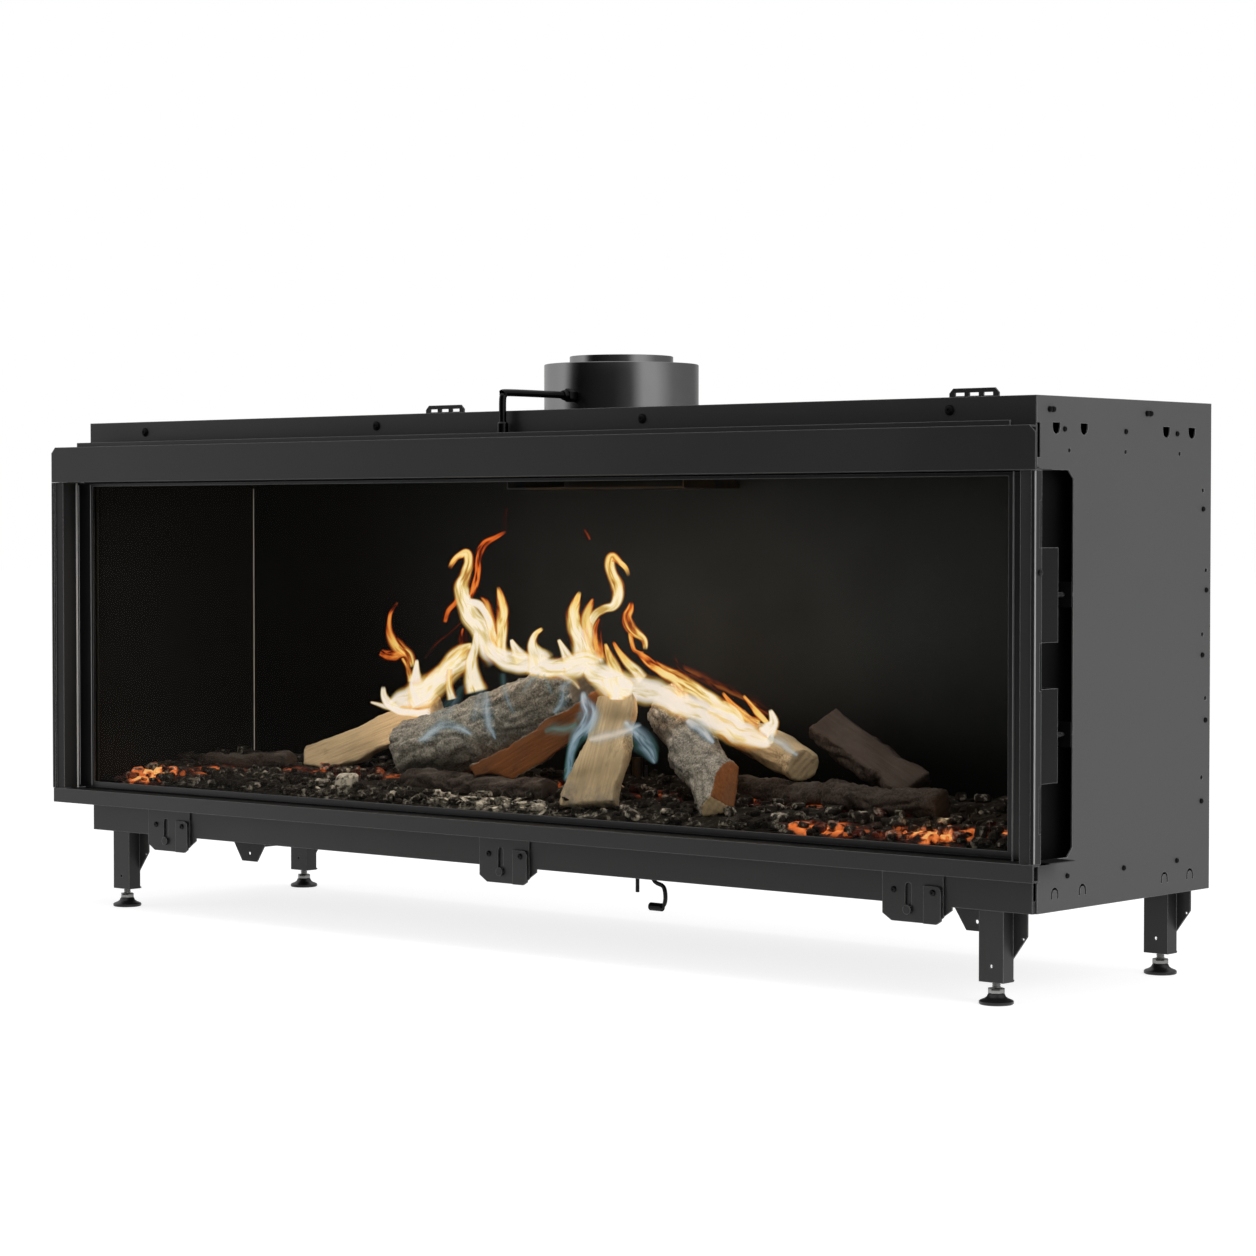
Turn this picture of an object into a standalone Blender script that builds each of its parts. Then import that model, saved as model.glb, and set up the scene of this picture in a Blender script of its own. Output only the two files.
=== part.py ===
"""Built-in gas fireplace with a balanced flue, a depth-adjustable front frame and a ceramic log fire.

Metres, +Z up. The origin is on the floor under the middle of the appliance, +X is to the viewer's
right and +Y runs from the glass to the back. Depths are measured back from the front face of the
casing, so a negative depth stands in front of it.
"""

import math

import bmesh
import bpy
from mathutils import Matrix, Vector, noise

# Sheet metal and clearances
SHEET = 0.002
GAP = 0.0003
OVERRUN = 0.010
SCREW_HOLE_R = 0.0028
ROUND_STEPS = 12

# Casing
CASE_WIDTH = 1.590
CASE_HEIGHT = 0.569
CASE_DEPTH = 0.362
GROUND_CLEARANCE = 0.105
RIM = 0.014
BAND_HEIGHT = 0.076
BACK_BEAD_DEPTH = 0.005
BACK_BEAD_WIDTH = 0.040
BACK_BEAD_SHARES = (0.25, 0.55, 0.85)
CORNER_SLIT = 0.003
BAND_SCREW_SHARES = (-0.854, -0.285, 0.285, 0.854)

# Side sheet: the adjuster cut-out and the rows of punched holes
CUTOUT_DEPTH = 0.0737
CUTOUT_CHAMFER = 0.010
CUTOUT_MARGIN = 0.001
EDGE_SLOT_DEPTH = 0.006
EDGE_SLOT_LENGTH = 0.038
EDGE_SLOT_DROP = 0.030
LUG_PITCH = 0.055
LUG_GROUP_SHARES = (0.185, 0.807)
LUG_ROW_INSET = 0.0357
LUG_WIDTH = 0.015
LUG_HEIGHT = 0.013
LUG_SLIT = 0.0028
LUG_ARC_STEPS = 5
HOLE_ROW_SHARES = (0.18, 0.494, 0.81)
HOLE_ROW_TOP_INSET = 0.0597
HOLE_ROW_BOTTOM_INSET = 0.0380
REAR_SCREW_INSET = 0.0175
REAR_SCREW_STAGGER = 0.0075
REAR_SCREW_SHARES = (0.182, 0.349, 0.483, 0.617, 0.783)

# Front frame
FRAME_PROJECTION = 0.0455
FRAME_OVERHANG = 0.030
FRAME_RETURN = 0.013
TOP_PANEL_DROP = 0.034
TOP_PANEL_HEIGHT = 0.0485
TOP_PANEL_CHAMFER = 0.008
STRIP_RISE = 0.040
STRIP_HEIGHT = 0.0195
STRIP_INSET = 0.0015
LIP_WIDTH = 0.0055
LIP_STEP = 0.0028
SIDE_FLANGE_WIDTH = 0.0159
TOP_FLANGE_RISE = 0.006
TOP_FLANGE_INSET = 0.0415
WALL_REAR = -0.004
NOTCH_DEPTH = 0.0035
NOTCH_LENGTH_SHARE = 0.12

# Frame adjusters: tab, stud, nuts and the lug on the firebox that guides the stud
TAB_REAR = 0.026
TAB_TURN = 0.016
TAB_HEIGHT = 0.104
TAB_PITCH = 0.1545
STUD_R = 0.003
STUD_END = 0.0675
STUD_SIDE_SET = 0.0076
NUT_R = 0.0056
NUT_LENGTH = 0.005
GUIDE_DEPTH = 0.050
GUIDE_HEIGHT = 0.028
GUIDE_REACH = 0.012
GUIDE_HOLE_R = 0.0035

# Firebox
FIREBOX_SIDE_AIR = 0.0245
FIREBOX_REAR_AIR = 0.076
FIREBOX_FLOOR_RISE = 0.0355
FIREBOX_ROOF_DROP = 0.081
FIREBOX_FRONT = -0.006
SIDE_SEAT_WIDTH = 0.0315
SILL_HEIGHT = 0.033
ROOF_LIP_DROP = 0.0082

# Glass, its frame and its seal
GLASS_THICK = 0.004
GLASS_FRAME_THICK = 0.003
SEAL_THICK = 0.003
SEAL_WIDTH = 0.012
SEAL_EDGE = 0.0025
GLASS_SIDE_SLACK = 0.0024
GLASS_END_SLACK = 0.0020
PANE_INSET = 0.0005
VIEW_BOTTOM_LAP = 0.0009
VIEW_TOP_LAP = 0.0013

# Flue
FLUE_BACK_INSET = 0.065
FLUE_OUTER_R = 0.100
FLUE_INNER_R = 0.067
FLUE_WALL = 0.002
FLUE_OUTER_RISE = 0.065
FLUE_INNER_RISE = 0.0756
FLUE_LIP = 0.0005
FLUE_HOLE_R = 0.094
FLUE_STEPS = 40
RESTRICTOR_HALF_WIDTH = 0.150
RESTRICTOR_DEPTH = 0.110
RESTRICTOR_DROP = 0.012
RESTRICTOR_SLOT_HALF_WIDTH = 0.060
RESTRICTOR_SLOT_DEPTH = 0.040

# Test tube on top
TUBE_SIDE = 0.006
TUBE_R = 0.004
TUBE_BEND_R = 0.010
TUBE_RISE = 0.0225
TUBE_FOOT_DROP = 0.044
TUBE_NUT_FLAT_R = 0.0095
TUBE_NUT_HEIGHT = 0.014
TUBE_CAP_R = 0.0070
TUBE_CAP_HEIGHT = 0.026
FLUE_NUT_R = 0.0078
FLUE_NUT_LENGTH = 0.013
TUBE_ARC_STEPS = 6

# Wall brackets on the back
BRACKET_WIDTH = 0.075
BRACKET_RISE = 0.0275
BRACKET_LAP = 0.030
BRACKET_CHAMFER = 0.006
BRACKET_SIDE_INSET = 0.339
BRACKET_SLOT_WIDTH = 0.014
BRACKET_SLOT_HEIGHT = 0.004
BRACKET_SLOT_PITCH = 0.0215
BRACKET_SLOT_RISE = 0.0200

# Legs and levelling feet
LEG_SIDE_INSET = 0.0592
LEG_WIDTH = 0.033
LEG_DEPTH = 0.021
LEG_FRONT_INSET = 0.0023
LEG_REAR_INSET = 0.0005
LEG_BOTTOM = 0.0250
LEG_WING_LEFT = 0.0105
LEG_WING_RIGHT = 0.019
LEG_WING_STRAIGHT = 0.028
LEG_WING_LENGTH = 0.055
LEG_PLATE_TAIL = 0.002
LEG_MARK_RISE = 0.018
LEG_MARK_R = 0.0022
LEG_SCREW_DROP = 0.0315
LEG_SCREW_INSET = 0.0055
LEG_SCREW_R = 0.0015
FOOT_R = 0.0195
FOOT_RIM_HEIGHT = 0.0045
FOOT_HEIGHT = 0.012
FOOT_NECK_R = 0.0095
FOOT_NUT_R = 0.0095
FOOT_NUT_HEIGHT = 0.0065
SPINDLE_R = 0.005
SPINDLE_TOP = 0.072
SPINDLE_HOLE_R = 0.0056
FOOT_STEPS = 20

# Rails under the base
RAIL_SIDE_INSET = 0.174
RAIL_FRONT = 0.138
RAIL_REAR_INSET = 0.032
RAIL_WIDTH = 0.062
RAIL_DEPTH = 0.022
RAIL_TONGUE_DEPTH = 0.044
RAIL_TONGUE_TOP_WIDTH = 0.088
RAIL_TONGUE_WIDTH = 0.030
RAIL_HOLE_R = 0.0025

# Adjustable hanger plates on the lower panel
HANGER_SIDE_INSET = 0.164
HANGER_LEFT = -0.042
HANGER_RIGHT = 0.043
HANGER_HEIGHT = 0.0555
HANGER_CHAMFER_X = 0.013
HANGER_CHAMFER_Z = 0.008
HANGER_SLOT_X = -0.0055
HANGER_SLOT_TOP_INSET = 0.0107
HANGER_SLOT_LENGTH = 0.035
HANGER_SLOT_R = 0.0043
HANGER_STUD_R = 0.0040
HANGER_HEAD_R = 0.0056
HANGER_HEAD_THICK = 0.003
HANGER_HOLE_X = -0.026
HANGER_HOLE_DROP = 0.020
TONGUE_LEFT = -0.039
TONGUE_RIGHT = 0.053
TONGUE_DROP = 0.0195
TONGUE_CHAMFER_X = 0.023
TONGUE_CHAMFER_Z = 0.0155
LATCH_LEFT = 0.0176
LATCH_RIGHT = 0.0415
LATCH_TOP_DROP = 0.0125
LATCH_THICK = 0.003
LATCH_ROUND = 0.006
LATCH_ROUND_STEPS = 4
LATCH_HOLE_X = 0.0305
LATCH_HOLE_DROP = 0.020

# Burner
TRAY_SIDE_CLEAR = 0.0805
TRAY_FRONT = 0.034
TRAY_REAR_CLEAR = 0.040
TRAY_HEIGHT = 0.0195
PORT_COUNT = 17
PORT_WIDTH = 0.046
PORT_DEPTH = 0.005
BURNER_END_INSET = 0.090
BURNER_DEPTH = 0.140
BURNER_R = 0.007
PIPE_R = 0.003
PIPE_HOLE_R = 0.0045
PIPE_STUB_R = 0.005
PIPE_BEND_R = 0.009
PIPE_DROP_X = 0.014
PIPE_DROP_CLEAR = 0.024
PIPE_HOOK_SHARES = ((0.0, 0.72), (0.3, 0.5), (0.85, 0.42), (1.0, 0.26), (0.97, 0.1), (0.8, 0.0))
PIPE_HOOK_REACH = 0.026
PIPE_HOOK_TOP = 0.100
PIPE_HOOK_BOTTOM = 0.034
PIPE_PLUG_R = 0.0054
PIPE_PLUG_LENGTH = 0.020
PIPE_SEGMENTS = 24
PILOT_X = -0.008
PILOT_PIPE_R = 0.0026
PILOT_PIPE_END = 0.051
PILOT_PLATE_HALF_WIDTH = 0.024
PILOT_PLATE_DEPTH = 0.016
PILOT_HEIGHT = 0.085
PILOT_HOOD_R = 0.007
PILOT_ROD_R = 0.0022
PILOT_ROD_PITCH = 0.015

# Ember bed
BED_SIDE_CLEAR = 0.0065
BED_FRONT = 0.012
BED_REAR_CLEAR = 0.034
BED_FRONT_THICK = 0.012
BED_REAR_THICK = 0.044
BED_CURVE = 0.5
BED_LUMP = 0.006
BED_LUMP_SIZE = 0.030
BED_COLUMNS = 84
BED_ROWS = 12
BED_CLEAR = 0.0004

# Logs: girth, and the table of how they lie. Ends are given as shares of the firebox half width,
# of the firebox depth and of the pile's full rise above the burner tray; radii are shares of the
# girth. The last two values are the side that is split off, in degrees round the log, and how
# deep the split goes, as a share of the radius.
LOG_GIRTH = 0.040
LOG_PILE_RISE = 0.427
LOG_SIDES = 12
LOG_RINGS = 7
LOG_LUMP_SHARE = 0.16
LOG_GRAIN = 0.035
LOG_CLEAR = 0.0004
LOG_SHARES = {
    "log_front_low": ((-0.310, 0.245, 0.082), (0.020, 0.235, 0.080), 0.48, 0.50, None, 0.0),
    "log_back_low": ((0.330, 0.560, 0.098), (0.530, 0.520, 0.092), 0.60, 0.58, None, 0.0),
    "log_right_flat": ((0.545, 0.440, 0.108), (0.775, 0.380, 0.110), 0.58, 0.55, 90.0, 0.35),
    "log_left_twig": ((-0.895, 0.430, 0.094), (-0.690, 0.470, 0.106), 0.30, 0.34, None, 0.0),
    "log_left_split": ((-0.690, 0.560, 0.100), (-0.400, 0.650, 0.290), 0.62, 0.72, 250.0, 0.15),
    "log_centre_bark": ((-0.355, 0.370, 0.162), (-0.015, 0.560, 0.386), 1.16, 1.14, None, 0.0),
    "log_brown_split": ((-0.140, 0.215, 0.105), (0.080, 0.500, 0.365), 0.52, 0.56, 300.0, 0.10),
    "log_right_bark": ((0.150, 0.640, 0.330), (0.415, 0.190, 0.085), 0.80, 0.92, 30.0, 0.30),
    "log_pale_plank": ((0.144, 0.085, 0.066), (0.120, 0.350, 0.375), 1.08, 0.72, 270.0, 0.02),
    "log_rear_short": ((0.200, 0.820, 0.300), (0.455, 0.560, 0.190), 0.55, 0.58, None, 0.0),
    "log_right_slant": ((0.430, 0.780, 0.300), (0.655, 0.620, 0.135), 0.62, 0.60, 200.0, 0.40),
}

# Places that follow from the sizes above
HALF = CASE_WIDTH / 2
TOP = GROUND_CLEARANCE + CASE_HEIGHT
REAR_REACH = CASE_DEPTH - LEG_REAR_INSET - LEG_DEPTH / 2 + FOOT_R
FRONT = (FRAME_PROJECTION - REAR_REACH) / 2
FRAME_HALF = HALF + FRAME_OVERHANG
PANEL_TOP = TOP - TOP_PANEL_DROP
PANEL_BOTTOM = PANEL_TOP - TOP_PANEL_HEIGHT
STRIP_BOTTOM = GROUND_CLEARANCE + STRIP_RISE
STRIP_TOP = STRIP_BOTTOM + STRIP_HEIGHT
OPENING_HALF = FRAME_HALF - LIP_WIDTH - SIDE_FLANGE_WIDTH
FIREBOX_HALF_WIDTH = HALF - FIREBOX_SIDE_AIR
FIREBOX_BACK = CASE_DEPTH - FIREBOX_REAR_AIR
FIREBOX_FLOOR = GROUND_CLEARANCE + FIREBOX_FLOOR_RISE
FIREBOX_ROOF = TOP - FIREBOX_ROOF_DROP + SHEET
SILL_TOP = FIREBOX_FLOOR + SILL_HEIGHT
ROOF_LIP_BOTTOM = FIREBOX_ROOF - ROOF_LIP_DROP
GLASS_VIEW_BOTTOM = SILL_TOP + VIEW_BOTTOM_LAP
GLASS_VIEW_TOP = ROOF_LIP_BOTTOM - VIEW_TOP_LAP
FLUE_DEPTH = FIREBOX_BACK - FLUE_BACK_INSET
RAIL_REAR = CASE_DEPTH - RAIL_REAR_INSET
TRAY_HALF_WIDTH = FIREBOX_HALF_WIDTH - TRAY_SIDE_CLEAR
TRAY_REAR = FIREBOX_BACK - TRAY_REAR_CLEAR
TRAY_TOP = FIREBOX_FLOOR + TRAY_HEIGHT
BURNER_HALF_LENGTH = TRAY_HALF_WIDTH - BURNER_END_INSET
PIPE_DROP_DEPTH = FIREBOX_BACK - PIPE_DROP_CLEAR
BED_HALF_WIDTH = FIREBOX_HALF_WIDTH - BED_SIDE_CLEAR
BED_REAR = FIREBOX_BACK - BED_REAR_CLEAR
STUD_HALF = OPENING_HALF - STUD_SIDE_SET
OPENING_MIDDLE = (PANEL_BOTTOM + STRIP_TOP) / 2
TAB_MIDDLES = (OPENING_MIDDLE - TAB_PITCH / 2, OPENING_MIDDLE + TAB_PITCH / 2)
SEAL_FRONT = FIREBOX_FRONT - GAP - SEAL_THICK
PANE_FRONT = SEAL_FRONT - GAP - GLASS_THICK
GLASS_FRAME_FRONT = PANE_FRONT - GAP - GLASS_FRAME_THICK
GLASS_HALF = OPENING_HALF - GLASS_SIDE_SLACK
GLASS_BOTTOM = STRIP_TOP + GLASS_END_SLACK
GLASS_TOP = PANEL_BOTTOM - GLASS_END_SLACK
HANGER_FRONT = -GAP - SHEET
LATCH_FRONT = HANGER_FRONT - GAP - LATCH_THICK
HANGER_XS = (HANGER_SIDE_INSET - HALF, 0.0, HALF - HANGER_SIDE_INSET)
HANGER_TOP = FIREBOX_FLOOR - GAP * 2
HANGER_BOTTOM = HANGER_TOP - HANGER_HEIGHT
HANGER_STUD_Z = HANGER_TOP - HANGER_SLOT_TOP_INSET - HANGER_SLOT_LENGTH + HANGER_SLOT_R
PANEL_EDGE_TOP = FIREBOX_FLOOR - GAP
BED_BASE = TRAY_TOP + GAP
TUBE_DEPTH = -TUBE_NUT_FLAT_R - GAP

FINISHES = {
    "satin_black_steel": ("2E2E2E", 0.42, 0.0),
    "side_sheet_steel": ("3A3A3A", 0.50, 0.0),
    "matt_black_firebox": ("121212", 0.80, 0.0),
    "black_fastener": ("151515", 0.40, 0.6),
    "zinc_plated": ("9A9A98", 0.30, 1.0),
    "flue_enamel": ("2A2A2A", 0.30, 0.3),
    "clear_ceramic_glass": ("DDE4E6", 0.05, 0.0),
    "glass_fibre_rope": ("4A4842", 0.95, 0.0),
    "burner_steel": ("3B3937", 0.60, 0.8),
    "charcoal_bed": ("2C2725", 0.95, 0.0),
    "pale_split_wood": ("B48E62", 0.85, 0.0),
    "brown_split_wood": ("8A5A36", 0.85, 0.0),
    "ash_grey_bark": ("5C5754", 0.95, 0.0),
    "dark_burnt_bark": ("3A3230", 0.95, 0.0),
}


def srgb_channel(value):
    """One sRGB channel from 0 to 1 as a linear value."""
    if value <= 0.04045:
        return value / 12.92
    return ((value + 0.055) / 1.055) ** 2.4


def hex_colour(code):
    """A six-digit sRGB code as linear red, green, blue and an alpha of one."""
    channels = [int(code[i:i + 2], 16) / 255 for i in (0, 2, 4)]
    return tuple(srgb_channel(c) for c in channels) + (1.0,)


def clear_scene():
    """Remove every object, mesh, curve and spare collection of the open scene."""
    for obj in list(bpy.data.objects):
        bpy.data.objects.remove(obj, do_unlink=True)
    for group in list(bpy.data.collections):
        bpy.data.collections.remove(group)


def make_collection(name):
    """A new collection in the scene."""
    group = bpy.data.collections.new(name)
    bpy.context.scene.collection.children.link(group)
    return group


clear_scene()
PARTS = make_collection("gas_fireplace")
CUTTERS = make_collection("cutters")


def finish_material(finish, name):
    """The piece's own material, from the named finish."""
    colour, roughness, metallic = FINISHES[finish]
    material = bpy.data.materials.new(name + "_" + finish)
    material.use_nodes = True
    shader = material.node_tree.nodes["Principled BSDF"]
    shader.inputs["Base Color"].default_value = hex_colour(colour)
    shader.inputs["Roughness"].default_value = roughness
    shader.inputs["Metallic"].default_value = metallic
    return material


def at(x, depth, z):
    """A point from its place across, its depth behind the casing front and its height."""
    return Vector((x, FRONT + depth, z))


def across(u, v, w, axis):
    """A point whose plane is across `axis`: u and v lie in the plane, w along the axis.

    The depth is the w of axis Y, the v of axis Z and the u of axis X.
    """
    if axis == "X":
        return at(w, u, v)
    if axis == "Y":
        return at(u, w, v)
    return at(u, v, w)


def object_from_bmesh(name, bm, group):
    """Write a bmesh to a new object in a collection."""
    mesh = bpy.data.meshes.new(name)
    bm.to_mesh(mesh)
    bm.free()
    obj = bpy.data.objects.new(name, mesh)
    group.objects.link(obj)
    return obj


def piece(name, bm, finish):
    """A finished piece of the fireplace from a bmesh."""
    obj = object_from_bmesh(name, bm, PARTS)
    obj.data.materials.append(finish_material(finish, name))
    return obj


def face_outward(bm):
    """Turn the faces of a closed shape outward."""
    bmesh.ops.recalc_face_normals(bm, faces=bm.faces[:])
    if bm.calc_volume(signed=True) < 0:
        bmesh.ops.reverse_faces(bm, faces=bm.faces[:])


def cutter_object(name, bm):
    """A hidden shape that only cuts or joins."""
    face_outward(bm)
    obj = object_from_bmesh(name, bm, CUTTERS)
    obj.hide_render = True
    obj.display_type = "WIRE"
    return obj


def boolean(obj, name, bm, operation):
    """Add a Boolean of the bmesh to a piece."""
    modifier = obj.modifiers.new(name, "BOOLEAN")
    modifier.operation = operation
    modifier.solver = "EXACT"
    modifier.object = cutter_object(obj.name + "_" + name, bm)


def add_box(bm, low, high):
    """A box between two corners, given as across, depth and height."""
    low, high = at(*low), at(*high)
    made = bmesh.ops.create_cube(bm, size=1.0)
    bmesh.ops.scale(bm, verts=made["verts"], vec=high - low)
    bmesh.ops.translate(bm, verts=made["verts"], vec=(low + high) / 2)


def add_rod(bm, start, end, radius, steps=ROUND_STEPS, end_radius=None):
    """A round or many-sided bar between two points, given as across, depth and height."""
    start, end = at(*start), at(*end)
    run = end - start
    far = radius if end_radius is None else end_radius
    turn = Vector((0, 0, 1)).rotation_difference(run).to_matrix().to_4x4()
    flat_front = Matrix.Rotation(math.pi / steps, 4, "Z")
    bmesh.ops.create_cone(bm, cap_ends=True, segments=steps, radius1=radius, radius2=far,
                          depth=run.length, matrix=Matrix.Translation((start + end) / 2) @ turn @ flat_front)


def box_piece(name, low, high, finish):
    """A plain flat bar or sheet."""
    bm = bmesh.new()
    add_box(bm, low, high)
    return piece(name, bm, finish)


def outline_bmesh(outlines, axis, near, far):
    """A flat shape from closed outlines, the first filled and the rest open, as thick as near to far."""
    curve = bpy.data.curves.new("outline", "CURVE")
    curve.dimensions = "2D"
    curve.fill_mode = "BOTH"
    curve.extrude = abs(far - near) / 2
    for points in outlines:
        spline = curve.splines.new("POLY")
        spline.points.add(len(points) - 1)
        for spot, (u, v) in zip(spline.points, points):
            spot.co = (u, v, 0, 1)
        spline.use_cyclic_u = True
    drawn = bpy.data.objects.new("outline", curve)
    bpy.context.scene.collection.objects.link(drawn)
    bpy.context.view_layer.update()
    evaluated = drawn.evaluated_get(bpy.context.evaluated_depsgraph_get())
    mesh = bpy.data.meshes.new_from_object(evaluated)
    bm = bmesh.new()
    bm.from_mesh(mesh)
    bpy.data.objects.remove(drawn, do_unlink=True)
    bpy.data.curves.remove(curve)
    bpy.data.meshes.remove(mesh)
    bmesh.ops.remove_doubles(bm, verts=bm.verts[:], dist=GAP / 10)
    middle = (near + far) / 2
    for vert in bm.verts:
        vert.co = across(vert.co.x, vert.co.y, middle + vert.co.z, axis)
    face_outward(bm)
    return bm


def tube_bmesh(points, radius, resolution=1):
    """A round bar along points given as across, depth and height, with its caps welded."""
    curve = bpy.data.curves.new("tube", "CURVE")
    curve.dimensions = "3D"
    curve.bevel_depth = radius
    curve.bevel_resolution = resolution
    curve.use_fill_caps = True
    spline = curve.splines.new("POLY")
    spline.points.add(len(points) - 1)
    for spot, point in zip(spline.points, points):
        spot.co = (*at(*point), 1)
    drawn = bpy.data.objects.new("tube", curve)
    bpy.context.scene.collection.objects.link(drawn)
    bpy.context.view_layer.update()
    evaluated = drawn.evaluated_get(bpy.context.evaluated_depsgraph_get())
    mesh = bpy.data.meshes.new_from_object(evaluated)
    bm = bmesh.new()
    bm.from_mesh(mesh)
    bpy.data.objects.remove(drawn, do_unlink=True)
    bpy.data.curves.remove(curve)
    bpy.data.meshes.remove(mesh)
    bmesh.ops.remove_doubles(bm, verts=bm.verts[:], dist=GAP / 10)
    face_outward(bm)
    return bm


def folded_sheet(name, path, span, axis, finish, metal_right=True):
    """A sheet folded along `path` and as long as `span`.

    The path is drawn on the face it gives, in the plane across the axis, and the metal lies on
    its right as one follows it, or on its left.
    """
    bm = bmesh.new()
    verts = [bm.verts.new(across(u, v, span[0], axis)) for u, v in path]
    edges = [bm.edges.new(pair) for pair in zip(verts, verts[1:])]
    swept = bmesh.ops.extrude_edge_only(bm, edges=edges)
    moved = [item for item in swept["geom"] if isinstance(item, bmesh.types.BMVert)]
    step = across(0, 0, span[1], axis) - across(0, 0, span[0], axis)
    bmesh.ops.translate(bm, verts=moved, vec=step)
    bm.faces.ensure_lookup_table()
    run_u, run_v = path[1][0] - path[0][0], path[1][1] - path[0][1]
    side = 1 if metal_right else -1
    wanted = across(run_v * side, -run_u * side, 0, axis) - across(0, 0, 0, axis)
    bmesh.ops.recalc_face_normals(bm, faces=bm.faces[:])
    first = verts[0].link_faces[0]
    if first.normal.dot(wanted) < 0:
        bmesh.ops.reverse_faces(bm, faces=bm.faces[:])
    obj = piece(name, bm, finish)
    thicken(obj, 1)
    return obj


def thicken(obj, offset):
    """Give an open surface the sheet's thickness, on the side that its faces look to or behind."""
    modifier = obj.modifiers.new("sheet", "SOLIDIFY")
    modifier.thickness = SHEET
    modifier.offset = offset
    modifier.use_even_offset = True


def set_origin(obj, point):
    """Move a piece's origin to a point, with its shape left in place."""
    obj.data.transform(Matrix.Translation(-point))
    obj.location = point


def slide_empty(name, point, pieces):
    """An empty on a slide's line that carries the pieces of one moving body."""
    empty = bpy.data.objects.new(name, None)
    PARTS.objects.link(empty)
    empty.location = point
    for obj in pieces:
        obj.parent = empty
        obj.matrix_parent_inverse = Matrix.Translation(-point)
    return empty


def arc(centre, radius, start, end, steps):
    """Points round part of a circle, in degrees, both ends included."""
    angles = [math.radians(start + (end - start) * i / steps) for i in range(steps + 1)]
    return [(centre[0] + radius * math.cos(a), centre[1] + radius * math.sin(a)) for a in angles]


def rectangle(low, high):
    """The four corners of an outline between two corners."""
    return [low, (high[0], low[1]), high, (low[0], high[1])]


def side_name(stem, side):
    """The name of a piece on the left or the right."""
    return stem + ("_left" if side < 0 else "_right")


def lug_slit(centre_depth, base, upward):
    """The U-shaped slit round a half-sheared lug, whose arch points up or down."""
    outer = LUG_WIDTH / 2
    inner = outer - LUG_SLIT
    straight = (LUG_HEIGHT - outer) * upward
    middle = (centre_depth, base + straight)
    rim = arc(middle, outer, 0, 180 * upward, LUG_ARC_STEPS)
    core = arc(middle, inner, 180 * upward, 0, LUG_ARC_STEPS)
    left = [(centre_depth - outer, base), (centre_depth - inner, base)]
    return [(centre_depth + outer, base)] + rim + left + core + [(centre_depth + inner, base)]


def lug_hole(centre_depth, base, upward):
    """The D-shaped hole that is left where a lug is bent in."""
    outer = LUG_WIDTH / 2
    straight = (LUG_HEIGHT - outer) * upward
    rim = arc((centre_depth, base + straight), outer, 0, 180 * upward, LUG_ARC_STEPS)
    return [(centre_depth + outer, base)] + rim + [(centre_depth - outer, base)]


def side_sheet(side):
    """A side of the casing: the adjuster cut-out, the edge slot, the lugs and the screw holes."""
    front_low = SHEET + CORNER_SLIT
    front = SHEET + GAP
    low, high = STRIP_TOP - CUTOUT_MARGIN, PANEL_BOTTOM + CUTOUT_MARGIN
    slot_high = TOP - EDGE_SLOT_DROP
    slot_low = slot_high - EDGE_SLOT_LENGTH
    outline = [
        (front, TOP), (front, slot_high), (front + EDGE_SLOT_DEPTH, slot_high),
        (front + EDGE_SLOT_DEPTH, slot_low), (front, slot_low), (front, high),
        (CUTOUT_DEPTH - CUTOUT_CHAMFER, high), (CUTOUT_DEPTH, high - CUTOUT_CHAMFER),
        (CUTOUT_DEPTH, low + CUTOUT_CHAMFER), (CUTOUT_DEPTH - CUTOUT_CHAMFER, low),
        (front_low, low), (front_low, GROUND_CLEARANCE), (CASE_DEPTH, GROUND_CLEARANCE), (CASE_DEPTH, TOP),
    ]
    face = HALF * side
    inside = (HALF - SHEET) * side
    sheet = outline_bmesh([outline], "X", inside, face)
    obj = piece(side_name("casing_side", side), sheet, "side_sheet_steel")
    cuts = bmesh.new()
    near, far = (HALF - SHEET - OVERRUN) * side, (HALF + OVERRUN) * side
    for share in LUG_GROUP_SHARES:
        for place in (-LUG_PITCH / 2, LUG_PITCH / 2):
            middle = CASE_DEPTH * share + place
            open_lug = lug_hole(middle, TOP - LUG_ROW_INSET + LUG_HEIGHT / 2, -1)
            half_sheared_lug = lug_slit(middle, GROUND_CLEARANCE + RIM, 1)
            for cut in (open_lug, half_sheared_lug):
                join_bmesh(cuts, outline_bmesh([cut], "X", near, far))
    for share in HOLE_ROW_SHARES:
        for z in (TOP - HOLE_ROW_TOP_INSET, GROUND_CLEARANCE + HOLE_ROW_BOTTOM_INSET):
            spot = CASE_DEPTH * share
            add_rod(cuts, (near, spot, z), (far, spot, z), SCREW_HOLE_R, ROUND_STEPS // 2 + 2)
    for place, share in enumerate(REAR_SCREW_SHARES):
        spot = CASE_DEPTH - REAR_SCREW_INSET + REAR_SCREW_STAGGER * (place % 2)
        z = TOP - (CASE_HEIGHT - OVERRUN) * share
        add_rod(cuts, (near, spot, z), (far, spot, z), SCREW_HOLE_R, ROUND_STEPS // 2 + 2)
    boolean(obj, "holes", cuts, "DIFFERENCE")


def join_bmesh(target, source):
    """Copy one bmesh into another and free it."""
    mesh = bpy.data.meshes.new("join")
    source.to_mesh(mesh)
    source.free()
    target.from_mesh(mesh)
    bpy.data.meshes.remove(mesh)


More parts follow.
